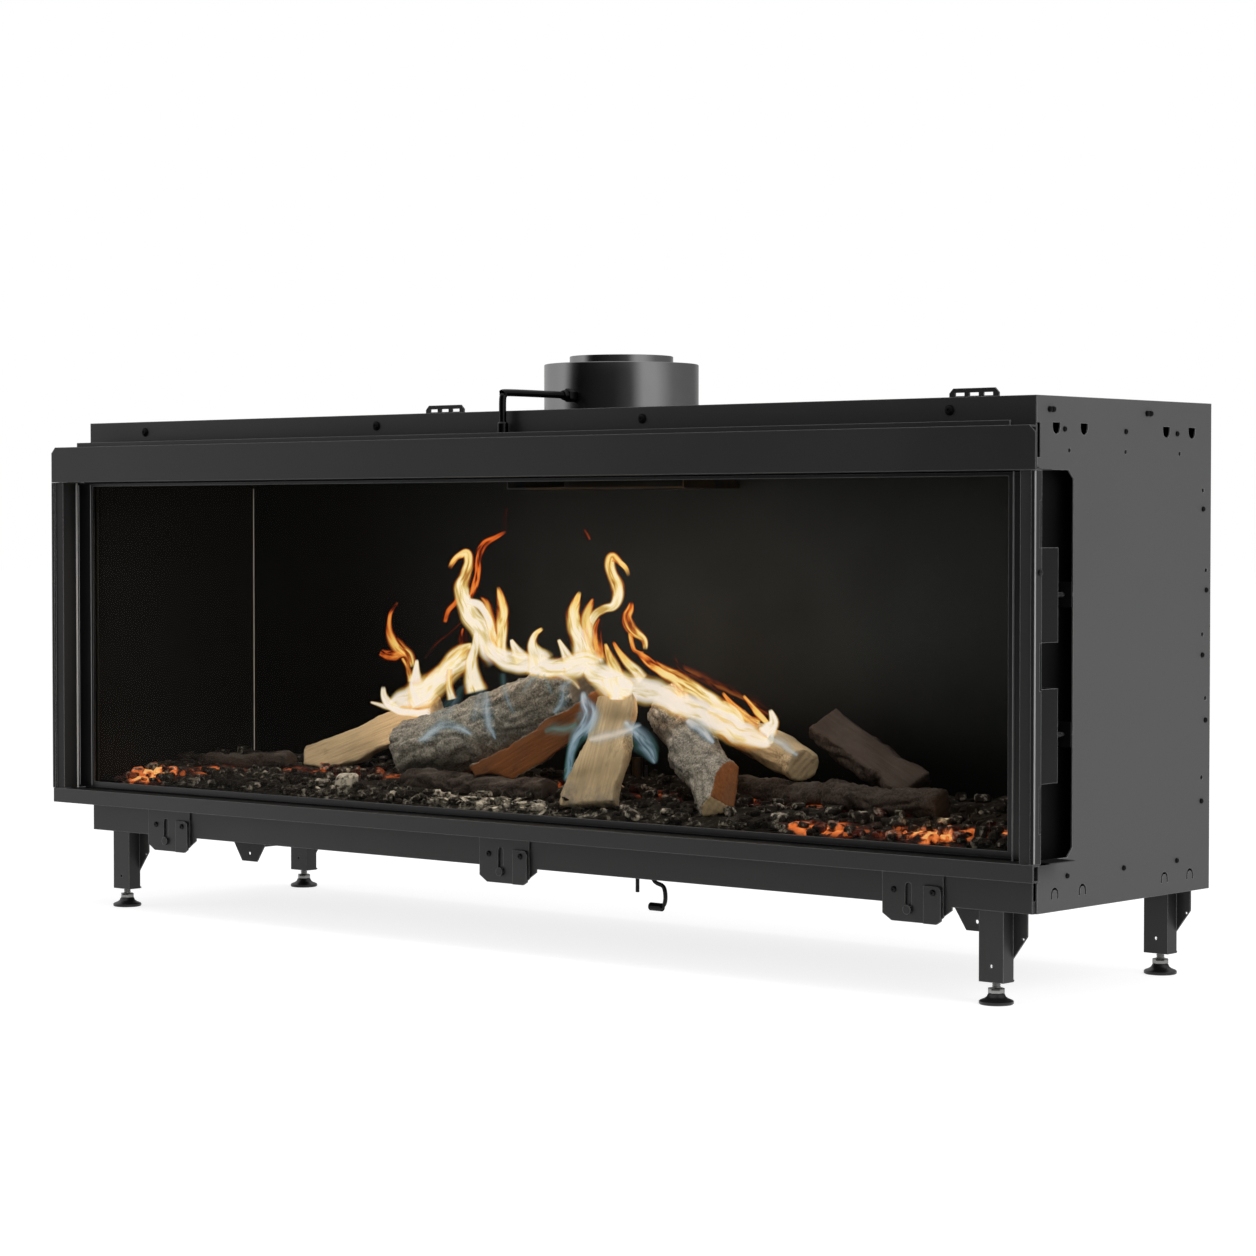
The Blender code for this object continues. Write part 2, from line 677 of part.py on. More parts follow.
def casing():
    """The outer casing: base, top, back, two sides, front band and lower front panel."""
    inner = HALF - SHEET - GAP
    span = (SHEET + GAP, CASE_DEPTH - SHEET - GAP)
    base_path = [(-inner, GROUND_CLEARANCE + RIM), (-inner, GROUND_CLEARANCE),
                 (inner, GROUND_CLEARANCE), (inner, GROUND_CLEARANCE + RIM)]
    base = folded_sheet("casing_base", base_path, span, "Y", "satin_black_steel", metal_right=False)
    cuts = bmesh.new()
    for x in (PIPE_DROP_X, PILOT_X):
        add_rod(cuts, (x, PIPE_DROP_DEPTH, GROUND_CLEARANCE - OVERRUN),
                (x, PIPE_DROP_DEPTH, GROUND_CLEARANCE + OVERRUN), PIPE_HOLE_R)
    boolean(base, "pipe_holes", cuts, "DIFFERENCE")

    top_path = [(-inner, TOP - RIM), (-inner, TOP), (inner, TOP), (inner, TOP - RIM)]
    top = folded_sheet("casing_top", top_path, span, "Y", "satin_black_steel")
    cuts = bmesh.new()
    add_rod(cuts, (0, FLUE_DEPTH, TOP - OVERRUN), (0, FLUE_DEPTH, TOP + OVERRUN), FLUE_HOLE_R, FLUE_STEPS)
    boolean(top, "flue_hole", cuts, "DIFFERENCE")

    back_path = [(CASE_DEPTH, GROUND_CLEARANCE)]
    for share in BACK_BEAD_SHARES:
        middle = GROUND_CLEARANCE + CASE_HEIGHT * share - BACK_BEAD_WIDTH
        back_path += [(CASE_DEPTH, middle - BACK_BEAD_WIDTH / 2),
                      (CASE_DEPTH - BACK_BEAD_DEPTH, middle - BACK_BEAD_WIDTH / 4),
                      (CASE_DEPTH - BACK_BEAD_DEPTH, middle + BACK_BEAD_WIDTH / 4),
                      (CASE_DEPTH, middle + BACK_BEAD_WIDTH / 2)]
    back_path.append((CASE_DEPTH, TOP))
    folded_sheet("casing_back", back_path, (-inner, inner), "X", "satin_black_steel", metal_right=False)

    for side in (-1, 1):
        side_sheet(side)

    low, high = (-HALF, 0, TOP - BAND_HEIGHT), (HALF, SHEET, TOP)
    band = box_piece("casing_front_band", low, high, "satin_black_steel")
    cuts = bmesh.new()
    for share in BAND_SCREW_SHARES:
        add_rod(cuts, (HALF * share, -OVERRUN, TOP - RIM), (HALF * share, OVERRUN, TOP - RIM), SCREW_HOLE_R)
    boolean(band, "screw_holes", cuts, "DIFFERENCE")

    panel_half = HALF - CORNER_SLIT
    panel = box_piece("lower_front_panel", (-panel_half, 0, GROUND_CLEARANCE),
                      (panel_half, SHEET, PANEL_EDGE_TOP), "satin_black_steel")
    tongues = bmesh.new()
    tip = GROUND_CLEARANCE - TONGUE_DROP
    root = (GROUND_CLEARANCE + PANEL_EDGE_TOP) / 2
    for x in HANGER_XS:
        left, right = x + TONGUE_LEFT, x + TONGUE_RIGHT
        tongue = [(left, root), (left, tip + HANGER_CHAMFER_Z), (left + HANGER_CHAMFER_X, tip),
                  (right - TONGUE_CHAMFER_X, tip), (right, tip + TONGUE_CHAMFER_Z), (right, root)]
        join_bmesh(tongues, outline_bmesh([tongue], "Y", 0, SHEET))
    boolean(panel, "tongues", tongues, "UNION")
    studs = bmesh.new()
    for x in HANGER_XS:
        spot = x + HANGER_SLOT_X
        head = HANGER_FRONT - GAP
        add_rod(studs, (spot, SHEET / 2, HANGER_STUD_Z), (spot, head - HANGER_HEAD_THICK / 2, HANGER_STUD_Z),
                HANGER_STUD_R)
    boolean(panel, "studs", studs, "UNION")
    heads = bmesh.new()
    for x in HANGER_XS:
        spot = x + HANGER_SLOT_X
        head = HANGER_FRONT - GAP
        add_rod(heads, (spot, head, HANGER_STUD_Z), (spot, head - HANGER_HEAD_THICK, HANGER_STUD_Z),
                HANGER_HEAD_R)
    boolean(panel, "heads", heads, "UNION")


def hangers():
    """Three height-adjustable hanger plates, each with its latch plate, hung on a stud in a slot."""
    bottom = HANGER_BOTTOM
    for name, x in zip(("left", "centre", "right"), HANGER_XS):
        left, right = x + HANGER_LEFT, x + HANGER_RIGHT
        outline = [(left, HANGER_TOP), (left, bottom + HANGER_CHAMFER_Z), (left + HANGER_CHAMFER_X, bottom),
                   (right - HANGER_CHAMFER_X, bottom), (right, bottom + HANGER_CHAMFER_Z),
                   (right, HANGER_TOP)]
        slot_top = HANGER_TOP - HANGER_SLOT_TOP_INSET
        slot_x = x + HANGER_SLOT_X
        slot = (arc((slot_x, slot_top - HANGER_SLOT_R), HANGER_SLOT_R, 0, 180, ROUND_STEPS // 2)
                + arc((slot_x, slot_top - HANGER_SLOT_LENGTH + HANGER_SLOT_R), HANGER_SLOT_R, 180, 360,
                      ROUND_STEPS // 2))
        hole = arc((x + HANGER_HOLE_X, HANGER_TOP - HANGER_HOLE_DROP), SCREW_HOLE_R, 0, 330, 11)
        plate = piece("hanger_plate_" + name,
                      outline_bmesh([outline, slot, hole], "Y", HANGER_FRONT, HANGER_FRONT + SHEET),
                      "satin_black_steel")
        set_origin(plate, at(slot_x, HANGER_FRONT, HANGER_STUD_Z))

        near, far = x + LATCH_LEFT, x + LATCH_RIGHT
        top = HANGER_TOP - LATCH_TOP_DROP
        turn = (far - LATCH_ROUND, top - LATCH_ROUND)
        outline = [(near, bottom), (far - HANGER_CHAMFER_X / 2, bottom), (far, bottom + HANGER_CHAMFER_Z / 2)]
        outline += arc(turn, LATCH_ROUND, 0, 90, LATCH_ROUND_STEPS) + [(near, top)]
        hole = arc((x + LATCH_HOLE_X, HANGER_TOP - LATCH_HOLE_DROP), SCREW_HOLE_R, 0, 330, 11)
        latch = piece("hanger_latch_" + name,
                      outline_bmesh([outline, hole], "Y", LATCH_FRONT, LATCH_FRONT + LATCH_THICK),
                      "satin_black_steel")
        slide_empty("hanger_slide_" + name, at(slot_x, HANGER_FRONT, HANGER_STUD_Z), [plate, latch])


def firebox():
    """The inner combustion chamber: two walls with stud guides, back, floor, roof and restrictor."""
    for side in (-1, 1):
        wall = FIREBOX_HALF_WIDTH * side
        seat = (FIREBOX_HALF_WIDTH + SIDE_SEAT_WIDTH) * side
        path = [(seat, FIREBOX_FRONT), (wall, FIREBOX_FRONT), (wall, FIREBOX_BACK - GAP)]
        obj = folded_sheet(side_name("firebox_wall", side), path, (FIREBOX_FLOOR, FIREBOX_ROOF), "Z",
                           "matt_black_firebox", metal_right=side > 0)
        guides = bmesh.new()
        for z in TAB_MIDDLES:
            reach = (STUD_HALF + GUIDE_REACH) * side
            start = (FIREBOX_HALF_WIDTH + SHEET / 2) * side
            lows = (min(start, reach), GUIDE_DEPTH, z - GUIDE_HEIGHT / 2)
            highs = (max(start, reach), GUIDE_DEPTH + SHEET, z + GUIDE_HEIGHT / 2)
            add_box(guides, lows, highs)
        boolean(obj, "guides", guides, "UNION")
        holes = bmesh.new()
        for z in TAB_MIDDLES:
            add_rod(holes, (STUD_HALF * side, GUIDE_DEPTH - OVERRUN, z),
                    (STUD_HALF * side, GUIDE_DEPTH + OVERRUN, z),
                    GUIDE_HOLE_R)
        boolean(obj, "guide_holes", holes, "DIFFERENCE")

    back_half = FIREBOX_HALF_WIDTH + SHEET
    path = [(FIREBOX_BACK + RIM, FIREBOX_FLOOR), (FIREBOX_BACK, FIREBOX_FLOOR),
            (FIREBOX_BACK, FIREBOX_ROOF), (FIREBOX_BACK + RIM, FIREBOX_ROOF)]
    folded_sheet("firebox_back", path, (-back_half, back_half), "X", "matt_black_firebox")

    half = FIREBOX_HALF_WIDTH - GAP
    path = [(FIREBOX_FRONT, SILL_TOP), (FIREBOX_FRONT, FIREBOX_FLOOR), (FIREBOX_BACK - GAP, FIREBOX_FLOOR)]
    floor = folded_sheet("firebox_floor", path, (-half, half), "X", "matt_black_firebox", metal_right=False)
    cuts = bmesh.new()
    for x, depth in ((0, BURNER_DEPTH), (PILOT_X, PIPE_DROP_DEPTH)):
        add_rod(cuts, (x, depth, FIREBOX_FLOOR - OVERRUN), (x, depth, FIREBOX_FLOOR + OVERRUN),
                PIPE_STUB_R + SHEET)
    boolean(floor, "pipe_holes", cuts, "DIFFERENCE")

    path = [(FIREBOX_FRONT, ROOF_LIP_BOTTOM), (FIREBOX_FRONT, FIREBOX_ROOF),
            (FIREBOX_BACK - GAP, FIREBOX_ROOF)]
    roof = folded_sheet("firebox_roof", path, (-half, half), "X", "matt_black_firebox")
    cuts = bmesh.new()
    bore = FLUE_INNER_R - FLUE_WALL - SHEET
    low, high = FIREBOX_ROOF - OVERRUN, FIREBOX_ROOF + OVERRUN
    add_rod(cuts, (0, FLUE_DEPTH, low), (0, FLUE_DEPTH, high), bore, FLUE_STEPS)
    boolean(roof, "flue_hole", cuts, "DIFFERENCE")

    under = FIREBOX_ROOF - SHEET - GAP
    low = under - RESTRICTOR_DROP
    near = FLUE_DEPTH - RESTRICTOR_DEPTH / 2
    far = near + RESTRICTOR_DEPTH
    half = RESTRICTOR_HALF_WIDTH
    path = [(-half - RIM, under), (-half, under), (-half, low),
            (half, low), (half, under), (half + RIM, under)]
    restrictor = folded_sheet("flue_restrictor", path, (near, far), "Y", "burner_steel")
    cuts = bmesh.new()
    slot = RESTRICTOR_SLOT_DEPTH / 2
    add_box(cuts, (-RESTRICTOR_SLOT_HALF_WIDTH, FLUE_DEPTH - slot, low - OVERRUN),
            (RESTRICTOR_SLOT_HALF_WIDTH, FLUE_DEPTH + slot, low + SHEET))
    boolean(restrictor, "draught_slot", cuts, "DIFFERENCE")


def glass():
    """The pane, the frame that holds it and the seal behind it."""
    outer = rectangle((-GLASS_HALF, GLASS_BOTTOM), (GLASS_HALF, GLASS_TOP))
    view = rectangle((-FIREBOX_HALF_WIDTH, GLASS_VIEW_BOTTOM), (FIREBOX_HALF_WIDTH, GLASS_VIEW_TOP))
    ring = outline_bmesh([outer, view], "Y", GLASS_FRAME_FRONT, GLASS_FRAME_FRONT + GLASS_FRAME_THICK)
    holder = piece("glass_frame", ring, "satin_black_steel")
    half = GLASS_HALF - PANE_INSET
    pane = box_piece("glass_pane", (-half, PANE_FRONT, GLASS_BOTTOM + PANE_INSET),
                     (half, PANE_FRONT + GLASS_THICK, GLASS_TOP - PANE_INSET), "clear_ceramic_glass")
    slide_empty("glass_slide", at(0, PANE_FRONT, OPENING_MIDDLE), [holder, pane])

    half = FIREBOX_HALF_WIDTH + SEAL_WIDTH + GAP
    outer = rectangle((-half, GLASS_BOTTOM + SEAL_EDGE), (half, GLASS_TOP - PANE_INSET - GAP))
    half = FIREBOX_HALF_WIDTH + GAP
    inner = rectangle((-half, SILL_TOP - GAP), (half, ROOF_LIP_BOTTOM + GAP))
    seal = outline_bmesh([outer, inner], "Y", SEAL_FRONT, SEAL_FRONT + SEAL_THICK)
    piece("glass_seal", seal, "glass_fibre_rope")


def frame_side(side):
    """A side of the front frame, with its two adjuster tabs, their studs and nuts."""
    lip = FRAME_HALF - LIP_WIDTH
    front = -FRAME_PROJECTION
    step = front + LIP_STEP
    path = [(FRAME_HALF, front + FRAME_RETURN), (FRAME_HALF, front), (lip, front), (lip, step),
            (OPENING_HALF, step), (OPENING_HALF, TAB_REAR), (OPENING_HALF - TAB_TURN, TAB_REAR)]
    path = [(x * side, depth) for x, depth in path]
    span = (STRIP_TOP + GAP, PANEL_BOTTOM - GAP)
    name = side_name("frame_side", side)
    obj = folded_sheet(name, path, span, "Z", "satin_black_steel", metal_right=side > 0)

    clear = bmesh.new()
    edges = [span[0] - OVERRUN]
    for z in TAB_MIDDLES:
        edges += [z - TAB_HEIGHT / 2, z + TAB_HEIGHT / 2]
    edges.append(span[1] + OVERRUN)
    inner, outer = (OPENING_HALF - TAB_TURN - OVERRUN) * side, (OPENING_HALF + OVERRUN) * side
    for low, high in zip(edges[::2], edges[1::2]):
        add_box(clear, (min(inner, outer), WALL_REAR, low), (max(inner, outer), TAB_REAR + OVERRUN, high))
    notch = (span[1] - span[0]) * NOTCH_LENGTH_SHARE
    inner, outer = (FRAME_HALF - LIP_WIDTH) * side, (FRAME_HALF + OVERRUN) * side
    beside = (TAB_HEIGHT + notch) / 2
    for z in (TAB_MIDDLES[0] - beside, OPENING_MIDDLE, TAB_MIDDLES[1] + beside):
        add_box(clear, (min(inner, outer), front + FRAME_RETURN - NOTCH_DEPTH, z - notch / 2),
                (max(inner, outer), WALL_REAR - OVERRUN, z + notch / 2))
    boolean(obj, "tabs", clear, "DIFFERENCE")

    studs = bmesh.new()
    nuts = bmesh.new()
    for z in TAB_MIDDLES:
        x = STUD_HALF * side
        add_rod(studs, (x, TAB_REAR - NUT_LENGTH - SHEET, z), (x, STUD_END, z), STUD_R)
        add_rod(nuts, (x, TAB_REAR - NUT_LENGTH, z), (x, TAB_REAR + SHEET / 2, z), NUT_R, 6)
    boolean(obj, "studs", studs, "UNION")
    boolean(obj, "nuts", nuts, "UNION")
    return obj


def frame_channel(name, half, low, high, chamfer):
    """A shallow channel whose open side looks back, with open ends and its two top corners cut off."""
    bm = bmesh.new()
    bmesh.ops.create_grid(bm, x_segments=1, y_segments=1, size=0.5)
    for vert in bm.verts:
        height = low if vert.co.y < 0 else high
        vert.co = at(math.copysign(half, vert.co.x), -FRAME_PROJECTION, height)
    if chamfer:
        corners = [vert for vert in bm.verts if vert.co.z > (low + high) / 2]
        bmesh.ops.bevel(bm, geom=corners, offset=chamfer * math.sqrt(2) / 2 * math.sqrt(2), segments=1,
                        profile=0.5, affect="VERTICES", material=-1)
    level = [edge for edge in bm.edges if abs(edge.verts[0].co.z - edge.verts[1].co.z) < GAP]
    rims = bmesh.ops.extrude_edge_only(bm, edges=level)
    moved = [item for item in rims["geom"] if isinstance(item, bmesh.types.BMVert)]
    bmesh.ops.translate(bm, verts=moved, vec=(0, FRAME_RETURN, 0))
    bmesh.ops.recalc_face_normals(bm, faces=bm.faces[:])
    front = min(bm.faces, key=lambda face: face.calc_center_median().y)
    if front.normal.y > 0:
        bmesh.ops.reverse_faces(bm, faces=bm.faces[:])
    obj = piece(name, bm, "satin_black_steel")
    thicken(obj, -1)
    return obj


def front_frame():
    """The front frame: top panel, bottom strip and two side profiles, which move as one."""
    panel = frame_channel("frame_top_panel", FRAME_HALF, PANEL_BOTTOM, PANEL_TOP, TOP_PANEL_CHAMFER)
    flange = bmesh.new()
    half = FRAME_HALF - TOP_FLANGE_INSET
    rear = -FRAME_PROJECTION + FRAME_RETURN
    add_box(flange, (-half, rear - SHEET * 0.75, PANEL_TOP - SHEET * 0.75),
            (half, rear + SHEET * 0.25, PANEL_TOP + TOP_FLANGE_RISE))
    boolean(panel, "return_flange", flange, "UNION")
    strip = frame_channel("frame_bottom_strip", FRAME_HALF - STRIP_INSET, STRIP_BOTTOM, STRIP_TOP, 0)
    sides = [frame_side(side) for side in (-1, 1)]
    slide_empty("frame_slide", at(0, -FRAME_PROJECTION, OPENING_MIDDLE), [panel, strip] + sides)


def turned(name, profile, centre, steps, finish):
    """A turned piece: a profile of radius and height swept round an upright line."""
    bm = bmesh.new()
    verts = [bm.verts.new((radius, 0, z)) for radius, z in profile]
    for pair in zip(verts, verts[1:]):
        bm.edges.new(pair)
    if profile[0][0] > 0:
        bm.edges.new((verts[-1], verts[0]))
    obj = piece(name, bm, finish)
    modifier = obj.modifiers.new("turn", "SCREW")
    modifier.steps = modifier.render_steps = steps
    modifier.use_merge_vertices = True
    modifier.merge_threshold = GAP / 10
    obj.location = centre
    return obj


def flue():
    """The concentric flue: an outer air collar on the casing and an inner pipe from the firebox."""
    low, high = TOP + GAP, TOP + FLUE_OUTER_RISE
    outer, inner = FLUE_OUTER_R, FLUE_OUTER_R - FLUE_WALL
    profile = [(outer - FLUE_LIP, high), (outer, high - FLUE_LIP), (outer, low), (inner, low), (inner, high)]
    turned("flue_outer_collar", profile, at(0, FLUE_DEPTH, 0), FLUE_STEPS, "flue_enamel")
    low, high = FIREBOX_ROOF + GAP, TOP + FLUE_INNER_RISE
    outer, inner = FLUE_INNER_R, FLUE_INNER_R - FLUE_WALL
    profile = [(outer - FLUE_LIP, high), (outer, high - FLUE_LIP), (outer, low), (inner, low), (inner, high)]
    turned("flue_inner_pipe", profile, at(0, FLUE_DEPTH, 0), FLUE_STEPS, "flue_enamel")


def test_tube():
    """The pressure test tube: up from its nut on the front band and back into the air collar."""
    level = TOP + TUBE_RISE
    bend = [(TUBE_DEPTH + TUBE_BEND_R + u, level - TUBE_BEND_R + v)
            for u, v in arc((0, 0), TUBE_BEND_R, 180, 90, TUBE_ARC_STEPS)]
    collar_front = FLUE_DEPTH - FLUE_OUTER_R - GAP
    foot = TOP - TUBE_FOOT_DROP
    points = [(TUBE_SIDE, TUBE_DEPTH, foot + GAP)] + [(TUBE_SIDE, depth, z) for depth, z in bend]
    points.append((TUBE_SIDE, collar_front - FLUE_NUT_LENGTH / 2, level))
    obj = piece("test_tube", tube_bmesh(points, TUBE_R), "black_fastener")
    nuts = bmesh.new()
    corner = TUBE_NUT_FLAT_R / math.cos(math.radians(30))
    nut_top, cap_top = foot + TUBE_NUT_HEIGHT, foot + TUBE_CAP_HEIGHT
    add_rod(nuts, (TUBE_SIDE, TUBE_DEPTH, foot), (TUBE_SIDE, TUBE_DEPTH, nut_top), corner, 6)
    nut_front = collar_front - FLUE_NUT_LENGTH
    add_rod(nuts, (TUBE_SIDE, nut_front, level), (TUBE_SIDE, collar_front, level), FLUE_NUT_R, 6)
    boolean(obj, "nuts", nuts, "UNION")
    cap = bmesh.new()
    cap_foot = foot + TUBE_NUT_HEIGHT / 2
    add_rod(cap, (TUBE_SIDE, TUBE_DEPTH, cap_foot), (TUBE_SIDE, TUBE_DEPTH, cap_top), TUBE_CAP_R)
    boolean(obj, "cap", cap, "UNION")


def wall_brackets():
    """Two slotted brackets that stand up from the back sheet."""
    near = CASE_DEPTH + GAP
    for side in (-1, 1):
        middle = (HALF - BRACKET_SIDE_INSET) * side
        left, right = middle - BRACKET_WIDTH / 2, middle + BRACKET_WIDTH / 2
        top = TOP + BRACKET_RISE
        outline = [(left, TOP - BRACKET_LAP), (right, TOP - BRACKET_LAP), (right, top - BRACKET_CHAMFER),
                   (right - BRACKET_CHAMFER, top), (left + BRACKET_CHAMFER, top),
                   (left, top - BRACKET_CHAMFER)]
        outlines = [outline]
        for place in (-1, 0, 1):
            x = middle + place * BRACKET_SLOT_PITCH
            for z in (TOP + BRACKET_SLOT_RISE, TOP - BRACKET_LAP / 2):
                outlines.append(rectangle((x - BRACKET_SLOT_WIDTH / 2, z - BRACKET_SLOT_HEIGHT / 2),
                                          (x + BRACKET_SLOT_WIDTH / 2, z + BRACKET_SLOT_HEIGHT / 2)))
        plate = outline_bmesh(outlines, "Y", near, near + SHEET)
        piece(side_name("wall_bracket", side), plate, "satin_black_steel")


def leg(name, x, front):
    """A leg folded as a hat section: a front web, two sides and two unlike wings, with a foot plate."""
    half = LEG_WIDTH / 2
    rear = front + LEG_DEPTH - SHEET
    top = GROUND_CLEARANCE - GAP
    tip = rear + SHEET / 2
    path = [(x + half, tip), (x + half, front), (x - half, front), (x - half, tip)]
    obj = folded_sheet(name, path, (LEG_BOTTOM, top), "Z", "satin_black_steel")
    extras = bmesh.new()
    add_box(extras, (x - half + SHEET / 2, front + SHEET / 2, LEG_BOTTOM + GAP),
            (x + half - SHEET / 2, rear + SHEET + LEG_PLATE_TAIL, LEG_BOTTOM + GAP + SHEET))
    for side, reach in ((-1, LEG_WING_LEFT), (1, LEG_WING_RIGHT)):
        root, edge = x + side * (half - SHEET / 2), x + side * (half + reach)
        wing = [(root, top - GAP), (root, top - LEG_WING_LENGTH),
                (edge, top - LEG_WING_STRAIGHT), (edge, top - GAP)]
        join_bmesh(extras, outline_bmesh([wing], "Y", rear, rear + SHEET))
    boolean(obj, "wings", extras, "UNION")
    holes = bmesh.new()
    spot = front + LEG_DEPTH / 2
    add_rod(holes, (x, spot, LEG_BOTTOM - OVERRUN), (x, spot, LEG_BOTTOM + OVERRUN), SPINDLE_HOLE_R)
    mark = LEG_BOTTOM + LEG_MARK_RISE
    add_rod(holes, (x, front - OVERRUN, mark), (x, front + OVERRUN, mark), LEG_MARK_R, ROUND_STEPS // 2 + 2)
    for side, reach in ((-1, LEG_WING_LEFT), (1, LEG_WING_RIGHT)):
        wing_x = x + side * (half + reach - LEG_SCREW_INSET)
        z = GROUND_CLEARANCE - LEG_SCREW_DROP
        add_rod(holes, (wing_x, rear - OVERRUN, z), (wing_x, rear + OVERRUN, z), LEG_SCREW_R,
                ROUND_STEPS // 2 + 2)
    boolean(obj, "holes", holes, "DIFFERENCE")


def foot(name, x, depth):
    """A levelling foot: a domed pad, a lock nut and a threaded spindle, screwed up into the leg."""
    profile = [(0, SPINDLE_TOP), (SPINDLE_R, SPINDLE_TOP), (SPINDLE_R, FOOT_HEIGHT),
               (FOOT_NECK_R, FOOT_HEIGHT), (FOOT_R, FOOT_RIM_HEIGHT), (FOOT_R, 0), (0, 0)]
    obj = turned(name, profile, at(x, depth, 0), FOOT_STEPS, "zinc_plated")
    nut = bmesh.new()
    add_rod(nut, (x, depth, FOOT_HEIGHT - SHEET), (x, depth, FOOT_HEIGHT + FOOT_NUT_HEIGHT), FOOT_NUT_R, 6)
    boolean(obj, "nut", nut, "UNION")


def legs_and_feet():
    """Four legs with their levelling feet, and the two rails under the base."""
    fronts = {"front": LEG_FRONT_INSET, "rear": CASE_DEPTH - LEG_REAR_INSET - LEG_DEPTH}
    for row, front in fronts.items():
        for side in (-1, 1):
            x = (HALF - LEG_SIDE_INSET) * side
            leg(side_name("leg_" + row, side), x, front)
            foot(side_name("foot_" + row, side), x, front + LEG_DEPTH / 2)
    for side in (-1, 1):
        base_rail(side)


def base_rail(side):
    """A channel under the base that runs front to back behind a tapered tongue."""
    middle = (HALF - RAIL_SIDE_INSET) * side
    top = GROUND_CLEARANCE - GAP
    half = RAIL_WIDTH / 2
    path = [(middle - half, top), (middle - half, top - RAIL_DEPTH), (middle + half, top - RAIL_DEPTH),
            (middle + half, top)]
    rail = folded_sheet(side_name("base_rail", side), path, (RAIL_FRONT + SHEET / 2, RAIL_REAR), "Y",
                        "satin_black_steel", metal_right=False)
    wide, narrow = RAIL_TONGUE_TOP_WIDTH / 2, RAIL_TONGUE_WIDTH / 2
    tongue = [(middle - wide, top - GAP), (middle - narrow, top - RAIL_TONGUE_DEPTH),
              (middle + narrow, top - RAIL_TONGUE_DEPTH), (middle + wide, top - GAP)]
    boolean(rail, "tongue", outline_bmesh([tongue], "Y", RAIL_FRONT, RAIL_FRONT + SHEET), "UNION")
    hole = bmesh.new()
    z = top - RAIL_DEPTH - (RAIL_TONGUE_DEPTH - RAIL_DEPTH) / 2
    add_rod(hole, (middle, RAIL_FRONT - OVERRUN, z), (middle, RAIL_FRONT + OVERRUN, z), RAIL_HOLE_R)
    boolean(rail, "hole", hole, "DIFFERENCE")


